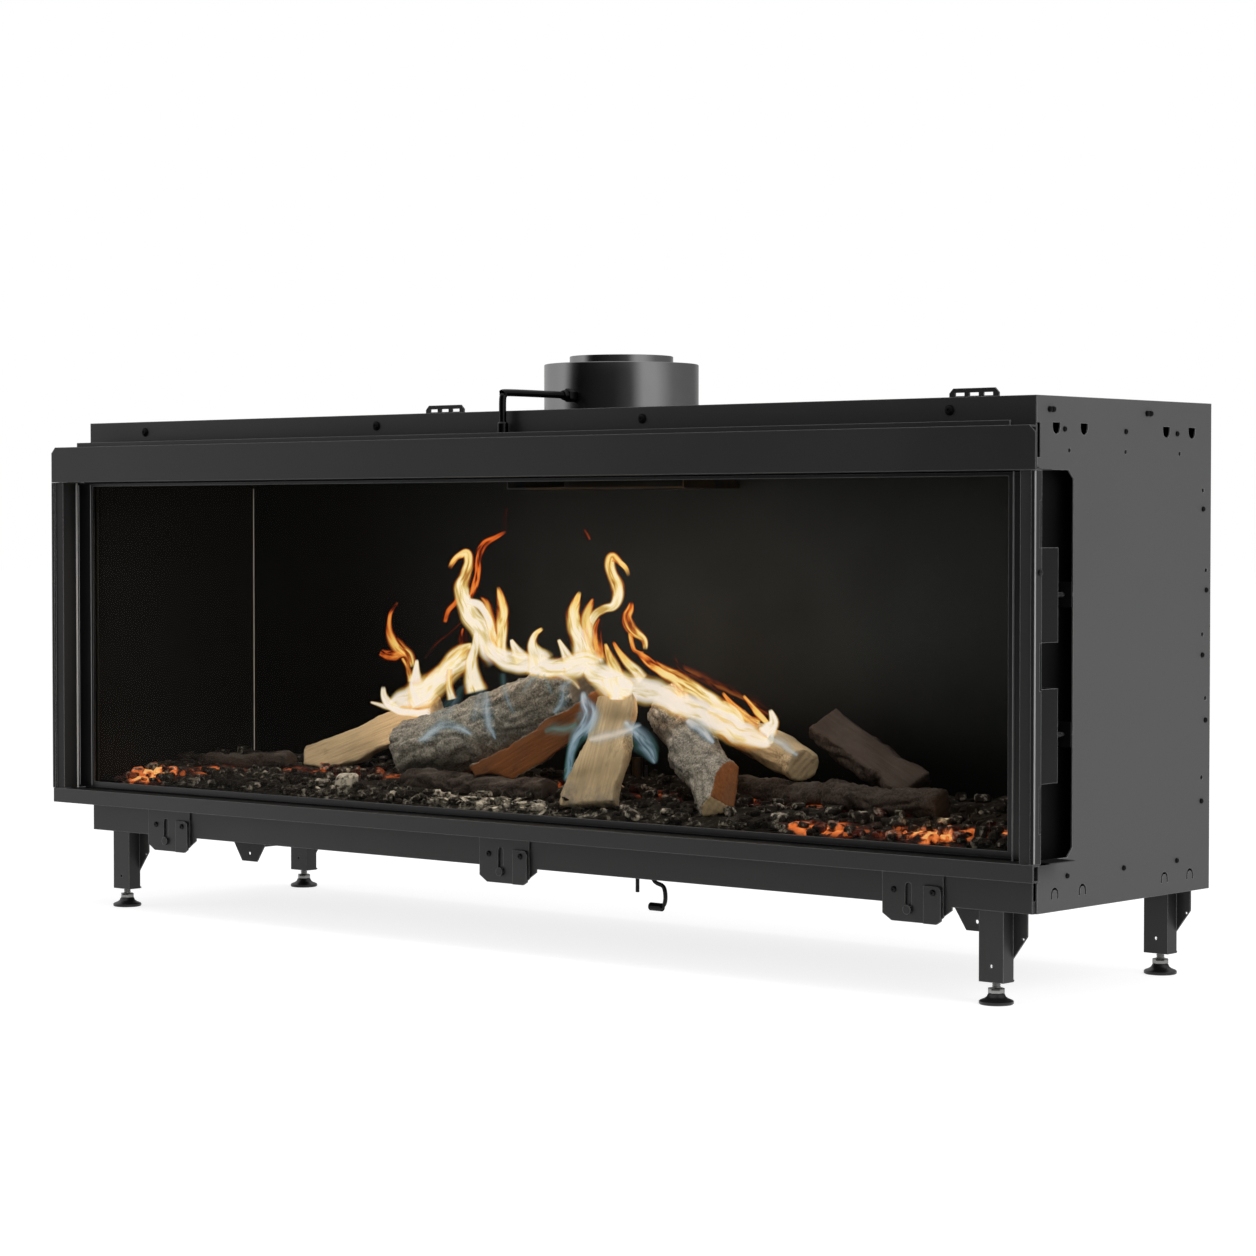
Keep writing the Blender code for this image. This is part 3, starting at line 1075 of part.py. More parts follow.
def burner():
    """The burner under the embers: the slotted tray, the burner tube, the pilot and their pipes."""
    stand = FIREBOX_FLOOR + SHEET + GAP
    path = [(TRAY_FRONT, stand), (TRAY_FRONT, TRAY_TOP), (TRAY_REAR, TRAY_TOP), (TRAY_REAR, stand)]
    tray = folded_sheet("burner_tray", path, (-TRAY_HALF_WIDTH, TRAY_HALF_WIDTH), "X", "burner_steel")
    ports = bmesh.new()
    pitch = 2 * BURNER_HALF_LENGTH / PORT_COUNT
    for place in range(PORT_COUNT):
        x = (place - (PORT_COUNT - 1) / 2) * pitch
        add_box(ports, (x - PORT_WIDTH / 2, BURNER_DEPTH - PORT_DEPTH / 2, TRAY_TOP - OVERRUN / 2),
                (x + PORT_WIDTH / 2, BURNER_DEPTH + PORT_DEPTH / 2, TRAY_TOP + OVERRUN))
    boolean(tray, "ports", ports, "DIFFERENCE")

    axis_z = stand + BURNER_R
    bm = bmesh.new()
    half = BURNER_HALF_LENGTH
    add_rod(bm, (-half, BURNER_DEPTH, axis_z), (half, BURNER_DEPTH, axis_z), BURNER_R)
    tube = piece("main_burner", bm, "burner_steel")
    stub = bmesh.new()
    pipe_z = FIREBOX_FLOOR - PIPE_STUB_R - GAP
    add_rod(stub, (0, BURNER_DEPTH, axis_z), (0, BURNER_DEPTH, pipe_z + PIPE_R + GAP), PIPE_STUB_R)
    boolean(tube, "inlet", stub, "UNION")

    def hook_point(share_x, share_z):
        height = PIPE_HOOK_BOTTOM + (PIPE_HOOK_TOP - PIPE_HOOK_BOTTOM) * share_z
        return (PIPE_DROP_X + PIPE_HOOK_REACH * share_x, PIPE_DROP_DEPTH, height)

    bend = PIPE_BEND_R
    turn = [(PIPE_DROP_X, PIPE_DROP_DEPTH - bend + u, pipe_z - bend + v)
            for u, v in arc((0, 0), bend, 90, 0, TUBE_ARC_STEPS)]
    jog = BURNER_DEPTH + PIPE_STUB_R * 2
    points = [(0, BURNER_DEPTH - PIPE_STUB_R, pipe_z), (0, jog, pipe_z),
              (PIPE_DROP_X, jog + PIPE_DROP_X, pipe_z)]
    points += turn + smooth([hook_point(*shares) for shares in PIPE_HOOK_SHARES], PIPE_SEGMENTS)
    pipe = piece("gas_supply_pipe", tube_bmesh(points, PIPE_R), "black_fastener")
    plug = bmesh.new()
    end = hook_point(*PIPE_HOOK_SHARES[-1])
    add_rod(plug, end, (end[0] - PIPE_PLUG_LENGTH, end[1], end[2]), PIPE_PLUG_R)
    boolean(pipe, "plug", plug, "UNION")

    bm = bmesh.new()
    add_rod(bm, (PILOT_X, PIPE_DROP_DEPTH, PILOT_PIPE_END),
            (PILOT_X, PIPE_DROP_DEPTH, stand - GAP), PILOT_PIPE_R)
    piece("pilot_pipe", bm, "black_fastener")

    bm = bmesh.new()
    depth = PILOT_PLATE_DEPTH / 2
    add_box(bm, (PILOT_X - PILOT_PLATE_HALF_WIDTH, PIPE_DROP_DEPTH - depth, stand),
            (PILOT_X + PILOT_PLATE_HALF_WIDTH, PIPE_DROP_DEPTH + depth, stand + SHEET))
    pilot = piece("pilot_burner", bm, "burner_steel")
    rods = bmesh.new()
    head = stand + PILOT_HEIGHT
    foot = stand + SHEET / 2
    add_rod(rods, (PILOT_X, PIPE_DROP_DEPTH, foot), (PILOT_X, PIPE_DROP_DEPTH, head), PILOT_HOOD_R)
    for side in (-1, 1):
        x = PILOT_X + side * PILOT_ROD_PITCH
        add_rod(rods, (x, PIPE_DROP_DEPTH, foot), (x, PIPE_DROP_DEPTH, head - OVERRUN), PILOT_ROD_R)
    boolean(pilot, "rods", rods, "UNION")


def smooth(points, segments):
    """Points along a smooth curve through the given ones."""
    ends = [points[0]] + list(points) + [points[-1]]
    path = []
    runs = len(points) - 1
    for step in range(segments + 1):
        place = step / segments * runs
        run = min(int(place), runs - 1)
        t = place - run
        a, b, c, d = (Vector(ends[run + i]) for i in range(4))
        bow = (a * 2 - b * 5 + c * 4 - d) * t ** 2
        twist = (b * 3 - a - c * 3 + d) * t ** 3
        curve = (b * 2 + (c - a) * t + bow + twist) / 2
        path.append(tuple(curve))
    return path


def bed_height(x, depth):
    """The height of the ember bed's surface."""
    share = max((depth - BED_FRONT) / (BED_REAR - BED_FRONT), 0)
    spot = Vector((x, depth, 0)) / BED_LUMP_SIZE
    lump = noise.noise(spot) + noise.noise(spot * 2.3) * 0.5
    rise = (BED_REAR_THICK - BED_FRONT_THICK) * share ** BED_CURVE
    return BED_BASE + BED_FRONT_THICK + rise + BED_LUMP * lump


def bed_bmesh(lift):
    """The ember bed as one closed body, its surface raised by `lift`."""
    bm = bmesh.new()
    bmesh.ops.create_grid(bm, x_segments=BED_COLUMNS, y_segments=BED_ROWS, size=0.5)
    bmesh.ops.triangulate(bm, faces=bm.faces[:], quad_method="FIXED")
    for vert in bm.verts:
        x = vert.co.x * 2 * BED_HALF_WIDTH
        depth = BED_FRONT + (vert.co.y + 0.5) * (BED_REAR - BED_FRONT)
        vert.co = at(x, depth, bed_height(x, depth) + lift)
    rim = [edge for edge in bm.edges if edge.is_boundary]
    walls = bmesh.ops.extrude_edge_only(bm, edges=rim)["geom"]
    for item in walls:
        if isinstance(item, bmesh.types.BMVert):
            item.co.z = BED_BASE
    bottom = [item for item in walls if isinstance(item, bmesh.types.BMEdge)]
    bmesh.ops.edgeloop_fill(bm, edges=bottom)
    face_outward(bm)
    return bm


def log_bmesh(shares, swell):
    """A log between its two ends: lumpy, slightly bent, split on one side, swollen by `swell`."""
    start_shares, end_shares, start_share, end_share, split_angle, split_share = shares

    def place(share):
        return at(share[0] * FIREBOX_HALF_WIDTH, share[1] * FIREBOX_BACK, TRAY_TOP + share[2] * LOG_PILE_RISE)

    start, end = place(start_shares), place(end_shares)
    run = end - start
    radius1, radius2 = start_share * LOG_GIRTH, end_share * LOG_GIRTH
    bm = bmesh.new()
    bmesh.ops.create_cone(bm, cap_ends=True, segments=LOG_SIDES, radius1=radius1, radius2=radius2,
                          depth=run.length)
    for ring in range(1, LOG_RINGS):
        plane = Vector((0, 0, run.length * (ring / LOG_RINGS - 0.5)))
        bmesh.ops.bisect_plane(bm, geom=bm.verts[:] + bm.edges[:] + bm.faces[:], plane_co=plane,
                               plane_no=(0, 0, 1))
    origin = Vector(start_shares) * len(LOG_SHARES)
    for vert in bm.verts:
        out = Vector((vert.co.x, vert.co.y, 0))
        lump = noise.noise(origin + vert.co / LOG_GRAIN)
        along = vert.co.z / run.length * 2
        vert.co += out * lump * LOG_LUMP_SHARE * 2
        vert.co.x += (1 - along * along) * radius1 * LOG_LUMP_SHARE
    if split_angle is not None:
        angle = math.radians(split_angle)
        normal = Vector((math.cos(angle), math.sin(angle), 0))
        cut = bmesh.ops.bisect_plane(bm, geom=bm.verts[:] + bm.edges[:] + bm.faces[:],
                                     plane_co=normal * radius1 * split_share, plane_no=normal,
                                     clear_outer=True)
        rim = [item for item in cut["geom_cut"] if isinstance(item, bmesh.types.BMEdge)]
        bmesh.ops.edgeloop_fill(bm, edges=rim)
    bmesh.ops.triangulate(bm, faces=bm.faces[:], quad_method="FIXED", ngon_method="EAR_CLIP")
    face_outward(bm)
    if swell:
        bm.normal_update()
        moves = [(vert, vert.normal * vert.calc_shell_factor() * swell) for vert in bm.verts]
        for vert, move in moves:
            vert.co += move
    turn = Vector((0, 0, 1)).rotation_difference(run).to_matrix().to_4x4()
    bm.transform(Matrix.Translation((start + end) / 2) @ turn)
    return bm


LOG_FINISHES = {
    "log_front_low": "dark_burnt_bark", "log_back_low": "dark_burnt_bark",
    "log_right_flat": "dark_burnt_bark", "log_right_slant": "dark_burnt_bark",
    "log_left_twig": "ash_grey_bark", "log_centre_bark": "ash_grey_bark",
    "log_right_bark": "ash_grey_bark", "log_brown_split": "brown_split_wood",
    "log_left_split": "pale_split_wood", "log_pale_plank": "pale_split_wood",
    "log_rear_short": "pale_split_wood",
}


def spans_meet(first, second):
    """Whether the boxes of two bmeshes meet."""
    for axis in range(3):
        a = [vert.co[axis] for vert in first.verts]
        b = [vert.co[axis] for vert in second.verts]
        if max(a) < min(b) or max(b) < min(a):
            return False
    return True


def fire():
    """The ember bed and the logs, each seated on the bed and on the logs laid before it."""
    piece("ember_bed", bed_bmesh(0), "charcoal_bed")
    laid = []
    for name, shares in LOG_SHARES.items():
        obj = piece(name, log_bmesh(shares, 0), LOG_FINISHES[name])
        body = log_bmesh(shares, 0)
        boolean(obj, "bed_seat", bed_bmesh(BED_CLEAR), "DIFFERENCE")
        for below in laid:
            swollen = log_bmesh(LOG_SHARES[below], LOG_CLEAR)
            if spans_meet(body, swollen):
                boolean(obj, "seat_" + below, swollen, "DIFFERENCE")
            else:
                swollen.free()
        body.free()
        laid.append(name)


casing()
firebox()
glass()
front_frame()
flue()
test_tube()
wall_brackets()
legs_and_feet()
hangers()
burner()
fire()
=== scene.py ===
"""The looks of a built-in gas fireplace: painted steel, glass, flue, ceramic logs, embers and flames.

Metres, +Z up. +X is to the viewer's right, +Y runs from the glass to the back, and the floor is z = 0.
"""

import math
import random

import bmesh
import bpy
from bpy.props import FloatProperty, FloatVectorProperty, IntProperty, PointerProperty
from bpy.types import Operator, Panel, PropertyGroup
from mathutils import Matrix, Vector, noise
from mathutils.bvhtree import BVHTree


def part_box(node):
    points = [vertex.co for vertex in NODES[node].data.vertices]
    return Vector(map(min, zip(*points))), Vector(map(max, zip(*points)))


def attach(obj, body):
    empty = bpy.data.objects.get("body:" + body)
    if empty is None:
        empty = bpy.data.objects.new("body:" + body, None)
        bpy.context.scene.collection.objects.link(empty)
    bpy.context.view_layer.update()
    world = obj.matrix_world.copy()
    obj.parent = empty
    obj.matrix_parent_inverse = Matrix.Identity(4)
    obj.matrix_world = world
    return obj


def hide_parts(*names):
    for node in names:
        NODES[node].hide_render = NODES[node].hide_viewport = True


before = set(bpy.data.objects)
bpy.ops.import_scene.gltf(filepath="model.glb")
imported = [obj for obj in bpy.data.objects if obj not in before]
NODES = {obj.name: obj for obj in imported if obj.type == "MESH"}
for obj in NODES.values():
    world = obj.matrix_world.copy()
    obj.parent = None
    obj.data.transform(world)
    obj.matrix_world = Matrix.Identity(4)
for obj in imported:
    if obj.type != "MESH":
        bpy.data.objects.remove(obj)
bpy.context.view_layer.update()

bl_info = {
    "name": "Gas Fireplace Looks",
    "version": (1, 0, 0),
    "blender": (4, 5, 0),
    "location": "3D View > Sidebar > Fireplace",
    "description": "Finishes, logs, embers and flames for a built-in gas fireplace",
    "category": "Object",
}

MM = 0.001


def low(node):
    """The lowest corner of a CAD node."""
    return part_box(node)[0]


def high(node):
    """The highest corner of a CAD node."""
    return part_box(node)[1]


def middle(node):
    """The middle of a CAD node's box."""
    return (low(node) + high(node)) / 2


def view_axes():
    """The camera's directions: to the right, up and ahead."""
    azimuth, fall = math.radians(CAMERA_AZIMUTH), math.radians(CAMERA_FALL)
    ahead = Vector((-math.sin(azimuth) * math.cos(fall), math.cos(azimuth) * math.cos(fall),
                    -math.sin(fall)))
    across = Vector((math.cos(azimuth), math.sin(azimuth), 0))
    return across, across.cross(ahead), ahead


def seen_at(across, down, depth):
    """The place that a pixel of the photograph shows, on the upright plane y = depth."""
    right, rise, ahead = view_axes()
    focal = CAMERA_LENS / SENSOR * PHOTO_WIDTH
    ray = ahead + right * ((across - PHOTO_WIDTH / 2) / focal) + rise * ((PHOTO_WIDTH / 2 - down) / focal)
    eye = Vector(CAMERA_PLACE)
    return eye + ray * ((depth - eye.y) / ray.y)


FRONT = low("casing_front_band").y
HALF = high("casing_side_right").x
CASING_TOP = high("casing_side_right").z
SIDES = {"left": -1, "right": 1}
FEET = ("front_left", "front_right", "rear_left", "rear_right")
HANGERS = ("left", "centre", "right")

# Seeds of the random draws
LUMP_SEED = 41
FLAKE_SEED = 57
YELLOW_FLAME_SEED = 12
BLUE_WISP_SEED = 7

# Camera, fitted to the straight edges of the casing in the photograph
CAMERA_PLACE = (2.8794, -3.2287, 0.5314)
CAMERA_AZIMUTH = 41.106
CAMERA_FALL = 1.7425
CAMERA_LENS = 96.60
SENSOR = 36.0
PHOTO_WIDTH = 1256
# The least grey of the studio floor where steel close to it mirrors it, and the span of depth over which it
# sets in
FLOOR_TONE = 0.80
FLOOR_NEAR = (-2.1, -1.2)
# What one pixel of the photograph measures at the fire
FLAME_PIXEL = 1.30 * MM

# Logs: foot, head, radius and, where the log is split, the side of the split in degrees round it
LOGS = {
    "log_front_low": (
        (-0.2389, -0.0924, 0.1950), (0.0154, -0.0953, 0.1942), 0.0192, None, "dark_burnt_bark"),
    "log_back_low": (
        (0.2543, -0.0023, 0.2018), (0.4084, -0.0138, 0.1993), 0.0240, None, "dark_burnt_bark"),
    "log_right_flat": (
        (0.4199, -0.0367, 0.2061), (0.5971, -0.0538, 0.2070), 0.0232, 90.0, "dark_burnt_bark"),
    "log_left_twig": (
        (-0.6896, -0.0395, 0.2001), (-0.5316, -0.0281, 0.2053), 0.0120, None, "ash_grey_bark"),
    "log_left_split": (
        (-0.5316, -0.0023, 0.2027), (-0.3082, 0.0234, 0.2838), 0.0248, 250.0, "pale_split_wood"),
    "log_centre_bark": (
        (-0.2735, -0.0567, 0.2292), (-0.0116, -0.0023, 0.3248), 0.0464, None, "ash_grey_bark"),
    "log_brown_split": (
        (-0.1079, -0.1010, 0.2048), (0.0616, -0.0195, 0.3159), 0.0208, 300.0, "brown_split_wood"),
    "log_right_bark": (
        (0.1156, 0.0205, 0.3009), (0.3198, -0.1082, 0.1963), 0.0320, 30.0, "ash_grey_bark"),
    "log_pale_plank": (
        (0.1110, -0.1382, 0.1882), (0.0925, -0.0624, 0.3201), 0.0432, 270.0, "pale_split_wood"),
    "log_rear_short": (
        (0.1541, 0.0720, 0.2881), (0.3506, -0.0023, 0.2411), 0.0220, None, "pale_split_wood"),
    "log_right_slant": (
        (0.3313, 0.0606, 0.2881), (0.5047, 0.0148, 0.2176), 0.0248, 200.0, "dark_burnt_bark"),
}

# Split faces that an axe left on a log's end: a place on the face and the way it looks
LOG_TRIMS = {
    "log_right_bark": (((0.3160, -0.1070, 0.2010), (0.907, -0.097, 0.410)),),
}

# Painted light and shade on the firebox's back: a lighter patch painted into its colour where light falls on
# its right part, and a darker tone at its left. These are the spans over which the patch sets in from the
# left, fades toward the right and deepens upward
PAINTED_LIGHT_START = (-0.62, 0.12)
PAINTED_LIGHT_FADE = (0.30, 0.78)
PAINTED_LIGHT_RISE = (0.20, 0.40)


# Colours and materials


def srgb(code):
    """An sRGB hex colour as linear RGBA."""
    shares = [int(code[i:i + 2], 16) / 255 for i in (0, 2, 4)]
    return [s / 12.92 if s <= 0.04045 else ((s + 0.055) / 1.055) ** 2.4 for s in shares] + [1.0]


def shade(colour, share):
    """A colour made lighter or darker by a share."""
    return [min(channel * share, 1.0) for channel in colour[:3]] + [1.0]


def fill(tree, node, inputs):
    """Give a node's inputs their values or links."""
    for name, value in inputs.items():
        if isinstance(value, bpy.types.NodeSocket):
            tree.links.new(value, node.inputs[name])
        else:
            node.inputs[name].default_value = value


def add_node(tree, kind, inputs=None, **settings):
    """Add a shader node with its settings, values and links."""
    node = tree.nodes.new("ShaderNode" + kind)
    for name, value in settings.items():
        setattr(node, name, value)
    fill(tree, node, inputs or {})
    return node


def per(size):
    """The scale of a pattern whose features are `size` metres wide."""
    return 1.0 / size


def ramp(tree, share, stops):
    """A colour ramp over (place, colour) stops."""
    node = add_node(tree, "ValToRGB", {"Fac": share})
    elements = node.color_ramp.elements
    while len(elements) < len(stops):
        elements.new(0.5)
    for element, (place, colour) in zip(elements, stops):
        element.position, element.color = place, colour
    return node.outputs["Color"]


def span(tree, value, low_in, high_in, low_out=0.0, high_out=1.0, kind="LINEAR"):
    """A value mapped from one span to another, clamped."""
    inputs = {"Value": value, "From Min": low_in, "From Max": high_in, "To Min": low_out, "To Max": high_out}
    return add_node(tree, "MapRange", inputs, interpolation_type=kind).outputs["Result"]


def blend_colours(tree, share, first, second, how="MIX"):
    """Two colours mixed by a share."""
    node = add_node(tree, "Mix", {0: share, 6: first, 7: second}, data_type="RGBA", blend_type=how)
    return node.outputs[2]


def maths(tree, operation, first, second=0.0):
    """One sum of two values."""
    return add_node(tree, "Math", {0: first, 1: second}, operation=operation).outputs[0]


def stretched(tree, vector, scale):
    """A vector scaled by an amount for each axis."""
    return add_node(tree, "Mapping", {"Vector": vector, "Scale": scale}).outputs["Vector"]


def axes(tree, vector):
    """The three parts of a vector."""
    return add_node(tree, "SeparateXYZ", {"Vector": vector}).outputs


def object_place(tree):
    """The place on the object, in metres."""
    return add_node(tree, "TexCoord").outputs["Object"]


def attribute(tree, name, output="Fac"):
    """What the mesh carries under a name."""
    return add_node(tree, "Attribute", attribute_name=name).outputs[output]


def patches(tree, place, size, detail, **more):
    """Soft noise from 0 to 1 whose patches are `size` metres wide."""
    inputs = {"Vector": place, "Scale": per(size), "Detail": detail, **more}
    return add_node(tree, "TexNoise", inputs).outputs["Fac"]


def spread(tree, share, low_out, high_out):
    """A noise mapped to a span. Most of a noise lies from 0.3 to 0.7."""
    return span(tree, share, 0.3, 0.7, low_out, high_out)


def mottled(tree, share, colour, first, second):
    """A colour that runs from one shade of itself to another."""
    return blend_colours(tree, share, shade(colour, first), shade(colour, second))


def relief(tree, height, strength, distance, **more):
    """The normal of a surface that a height raises."""
    inputs = {"Height": height, "Strength": strength, "Distance": distance, **more}
    return add_node(tree, "Bump", inputs).outputs["Normal"]


def new_material(name):
    """A material with one Principled shader: the material, its tree and the shader."""
    material = bpy.data.materials.new(name)
    material.use_nodes = True
    tree = material.node_tree
    tree.nodes.clear()
    shader = add_node(tree, "BsdfPrincipled")
    add_node(tree, "OutputMaterial", {"Surface": shader.outputs["BSDF"]})
    return material, tree, shader


def powder_coat(name, colour, roughness, specular=0.5, edge_highlight=0.5, painted_light_bands=()):
    """Steel sprayed with satin polyester powder and baked: an even dark skin with a fine orange peel and a
    faint cloudiness over large panels. Along every edge a painted highlight turns the colour toward pale
    grey, for the light that folded edges catch. Bands paint light and shade into the colour by depth: from
    each depth on the colour is a share of itself, lighter where light falls and darker where shade falls.
    Lacquered screws and the pale highlight strips have the same skin without the painted edge highlight."""
    material, tree, shader = new_material(name)
    place = object_place(tree)
    cloud = patches(tree, place, 180 * MM, 3.0)
    grit = patches(tree, place, 1.4 * MM, 2.0)
    tint = mottled(tree, cloud, colour, 0.86, 1.14)
    tint = blend_colours(tree, spread(tree, grit, 0.0, 0.12), tint, shade(colour, 1.5))
    # Painted light and shade: each band paints the colour lighter or darker from a depth on.
    for start, end, share in painted_light_bands:
        tint = blend_colours(tree, span(tree, axes(tree, place)["Y"], start, end), tint, shade(colour, share))
    # Painted highlight: along every edge the colour turns toward pale grey, for the light that folded edges
    # catch.
    edge = add_node(tree, "Bevel", {"Radius": 1.1 * MM}, samples=4).outputs["Normal"]
    flat = add_node(tree, "NewGeometry").outputs["Normal"]
    edge_highlight_share = add_node(tree, "VectorMath", {0: edge, 1: flat}, operation="DOT_PRODUCT").outputs["Value"]
    tint = blend_colours(tree, span(tree, edge_highlight_share, 0.995, 0.90, 0.0, edge_highlight), tint, srgb("B4B4B4"))
    fill(tree, shader, {
        "Base Color": tint, "Normal": relief(tree, grit, 0.06, 0.3 * MM, Normal=edge),
        "Specular IOR Level": specular, "Roughness": spread(tree, cloud, roughness - 0.04, roughness + 0.05)})
    return material


def stove_paint(name, colour, painted_light_tone=None):
    """Silicone heat-resistant paint on the firebox sheets: dull and slightly gritty. On the back sheet light
    and shade
    are painted into the colour: a wide soft lighter patch that fades toward the right and grows upward, and a
    darker tone at the left and low down."""
    material, tree, shader = new_material(name)
    place = object_place(tree)
    # Painted light and shade: a lighter patch toward the right, the rest of the back painted darker.
    if painted_light_tone:
        parts = axes(tree, place)
        wide = span(tree, parts["X"], *PAINTED_LIGHT_START, 0.0, 1.0, "SMOOTHSTEP")
        fade = span(tree, parts["X"], *PAINTED_LIGHT_FADE, 1.0, 0.72)
        tall = span(tree, parts["Z"], *PAINTED_LIGHT_RISE, 0.12, 1.0, "SMOOTHSTEP")
        patch = maths(tree, "MULTIPLY", maths(tree, "MULTIPLY", wide, fade), tall)
        colour = blend_colours(tree, patch, shade(colour, 0.35), painted_light_tone)
    stain = patches(tree, place, 90 * MM, 5.0)
    grit = patches(tree, place, 0.9 * MM, 2.0)
    edge = add_node(tree, "Bevel", {"Radius": 0.8 * MM}, samples=3).outputs["Normal"]
    fill(tree, shader, {
        "Base Color": blend_colours(tree, 1.0, colour, spread(tree, stain, 0.85, 1.2), "MULTIPLY"),
        "Roughness": spread(tree, stain, 0.50, 0.62), "Specular IOR Level": 0.12,
        "Normal": relief(tree, grit, 0.03, 0.1 * MM, Normal=edge)})
    return material


def plated_metal(name, colour, roughness):
    """Bright zinc or blackened steel on turned parts: metal with a fine, slightly uneven plating grain."""
    material, tree, shader = new_material(name)
    place = object_place(tree)
    grain = patches(tree, place, 0.7 * MM, 3.0)
    patch = patches(tree, place, 12 * MM, 2.0)
    fill(tree, shader, {
        "Base Color": mottled(tree, patch, colour, 0.92, 1.08), "Metallic": 1.0,
        "Roughness": spread(tree, grain, roughness - 0.05, roughness + 0.06),
        "Normal": relief(tree, grain, 0.05, 0.1 * MM)})
    return material


def rolled_flue_steel(name, colour):
    """Rolled and dark-enamelled sheet steel of the flue: long soft reflections with faint rolling lines."""
    material, tree, shader = new_material(name)
    place = object_place(tree)
    rolling = patches(tree, stretched(tree, place, (0.05, 0.05, 1.0)), 0.8 * MM, 2.0)
    cloud = patches(tree, place, 40 * MM, 3.0)
    fill(tree, shader, {
        "Base Color": mottled(tree, cloud, colour, 0.92, 1.08), "Metallic": 1.0,
        "Roughness": spread(tree, cloud, 0.14, 0.19), "Normal": relief(tree, rolling, 0.03, 0.1 * MM)})
    return material


def ceramic_glass(name, colour):
    """Clear glass-ceramic with an anti-reflective coating: the fire shows through it almost unveiled, under a
    faint mirror."""
    material, tree, shader = new_material(name)
    fill(tree, shader, {"Base Color": srgb("0A0A0A"), "Roughness": 0.03})
    clear = add_node(tree, "BsdfTransparent", {"Color": colour})
    both = add_node(tree, "MixShader", {0: 0.05, 1: clear.outputs["BSDF"], 2: shader.outputs["BSDF"]})
    tree.links.new(both.outputs["Shader"], tree.nodes["Material Output"].inputs["Surface"])
    return material


def glass_rope(name, colour):
    """Knitted glass-fibre sealing rope: dull grey with a plait a few millimetres long."""
    material, tree, shader = new_material(name)
    inputs = {"Vector": object_place(tree), "Scale": per(9 * MM), "Distortion": 3.0}
    plait = add_node(tree, "TexWave", inputs, bands_direction="DIAGONAL").outputs["Fac"]
    fill(tree, shader, {"Base Color": mottled(tree, plait, colour, 0.6, 1.3), "Roughness": 0.95,
                        "Normal": relief(tree, plait, 0.6, 0.8 * MM)})
    return material


def heated_steel(name, colour):
    """Stainless sheet that the burner has heated: brown and blue tempering patches, some of them dull."""
    material, tree, shader = new_material(name)
    heat = patches(tree, object_place(tree), 60 * MM, 4.0)
    tempered = ramp(tree, heat, ((0.30, shade(colour, 0.8)), (0.48, srgb("5A4A38")), (0.60, srgb("3C4250")),
                                 (0.75, shade(colour, 1.2))))
    fill(tree, shader, {"Base Color": tempered, "Metallic": 0.8, "Roughness": spread(tree, heat, 0.35, 0.6)})
    return material


def moulded_nylon(name, colour):
    """Moulded black nylon of the foot pads: a semi-gloss skin with a fine spark-eroded grain."""
    material, tree, shader = new_material(name)
    grain = patches(tree, object_place(tree), 0.6 * MM, 2.0)
    fill(tree, shader, {
        "Base Color": mottled(tree, grain, colour, 0.8, 1.25), "Roughness": spread(tree, grain, 0.28, 0.38),
        "Normal": relief(tree, grain, 0.1, 0.1 * MM)})
    return material


def log_ceramic(name, bark, wood, cut, char):
    """Moulded ceramic fibre painted as wood: crumbling bark, long split fibres, ringed saw cuts and scorched
    patches. The pattern follows each log through its own attributes, so that the fibres run along it."""
    material, tree, shader = new_material(name)
    place = attribute(tree, "grain", "Vector")
    wood_share, cut_share = attribute(tree, "wood"), attribute(tree, "cut")
    burn_share, ash_share = attribute(tree, "burn"), attribute(tree, "ash")

    plates = patches(tree, stretched(tree, place, (1, 1, 0.7)), 13 * MM, 8.0, Roughness=0.75)
    grit = patches(tree, place, 2.4 * MM, 4.0, Roughness=0.7)
    bark_colour = ramp(tree, plates, ((0.34, shade(bark, 0.22)), (0.44, shade(bark, 0.62)), (0.56, bark),
                                      (0.68, shade(bark, 1.45))))
    bark_colour = blend_colours(tree, span(tree, grit, 0.52, 0.66, 0.0, 0.65), bark_colour, shade(bark, 1.9))
    bark_colour = blend_colours(tree, span(tree, grit, 0.47, 0.36, 0.0, 0.75), bark_colour, shade(bark, 0.20))

    fibre = patches(tree, stretched(tree, place, (1, 1, 0.05)), 3.2 * MM, 5.0, Roughness=0.6)
    streak = patches(tree, stretched(tree, place, (1, 1, 0.35)), 26 * MM, 4.0)
    wood_colour = ramp(tree, fibre, ((0.28, shade(wood, 0.70)), (0.45, shade(wood, 0.93)),
                                     (0.60, shade(wood, 1.05)), (0.78, shade(wood, 1.2))))
    soot = blend_colours(tree, 0.5, shade(wood, 0.5), shade(bark, 0.5))
    wood_colour = blend_colours(tree, span(tree, streak, 0.45, 0.70, 0.0, 0.6), wood_colour, soot)

    inputs = {"Vector": place, "Scale": per(26 * MM), "Distortion": 2.2, "Detail": 2.0, "Detail Scale": 2.0}
    rings = add_node(tree, "TexWave", inputs, wave_type="RINGS", rings_direction="Z").outputs["Fac"]
    cut_colour = mottled(tree, span(tree, rings, 0.2, 0.9, 0.0, 0.45), cut, 1.15, 0.72)

    ragged = maths(tree, "ADD", wood_share, spread(tree, grit, -0.22, 0.22))
    colour = blend_colours(tree, span(tree, ragged, 0.42, 0.58), bark_colour, wood_colour)
    colour = blend_colours(tree, span(tree, cut_share, 0.4, 0.6), colour, cut_colour)
    scorch = maths(tree, "ADD", burn_share, spread(tree, plates, -0.25, 0.25))
    colour = blend_colours(tree, span(tree, scorch, 0.45, 0.95, 0.0, 0.92), colour, char)
    dusted = maths(tree, "MULTIPLY", ash_share, span(tree, plates, 0.40, 0.60, 0.25, 1.0))
    colour = blend_colours(tree, dusted, colour, srgb("75706C"))

    height = blend_colours(tree, wood_share, grit, fibre)
    fill(tree, shader, {"Base Color": colour, "Roughness": 0.9, "Specular IOR Level": 0.25,
                        "Normal": relief(tree, height, 0.8, 1.8 * MM)})
    return material


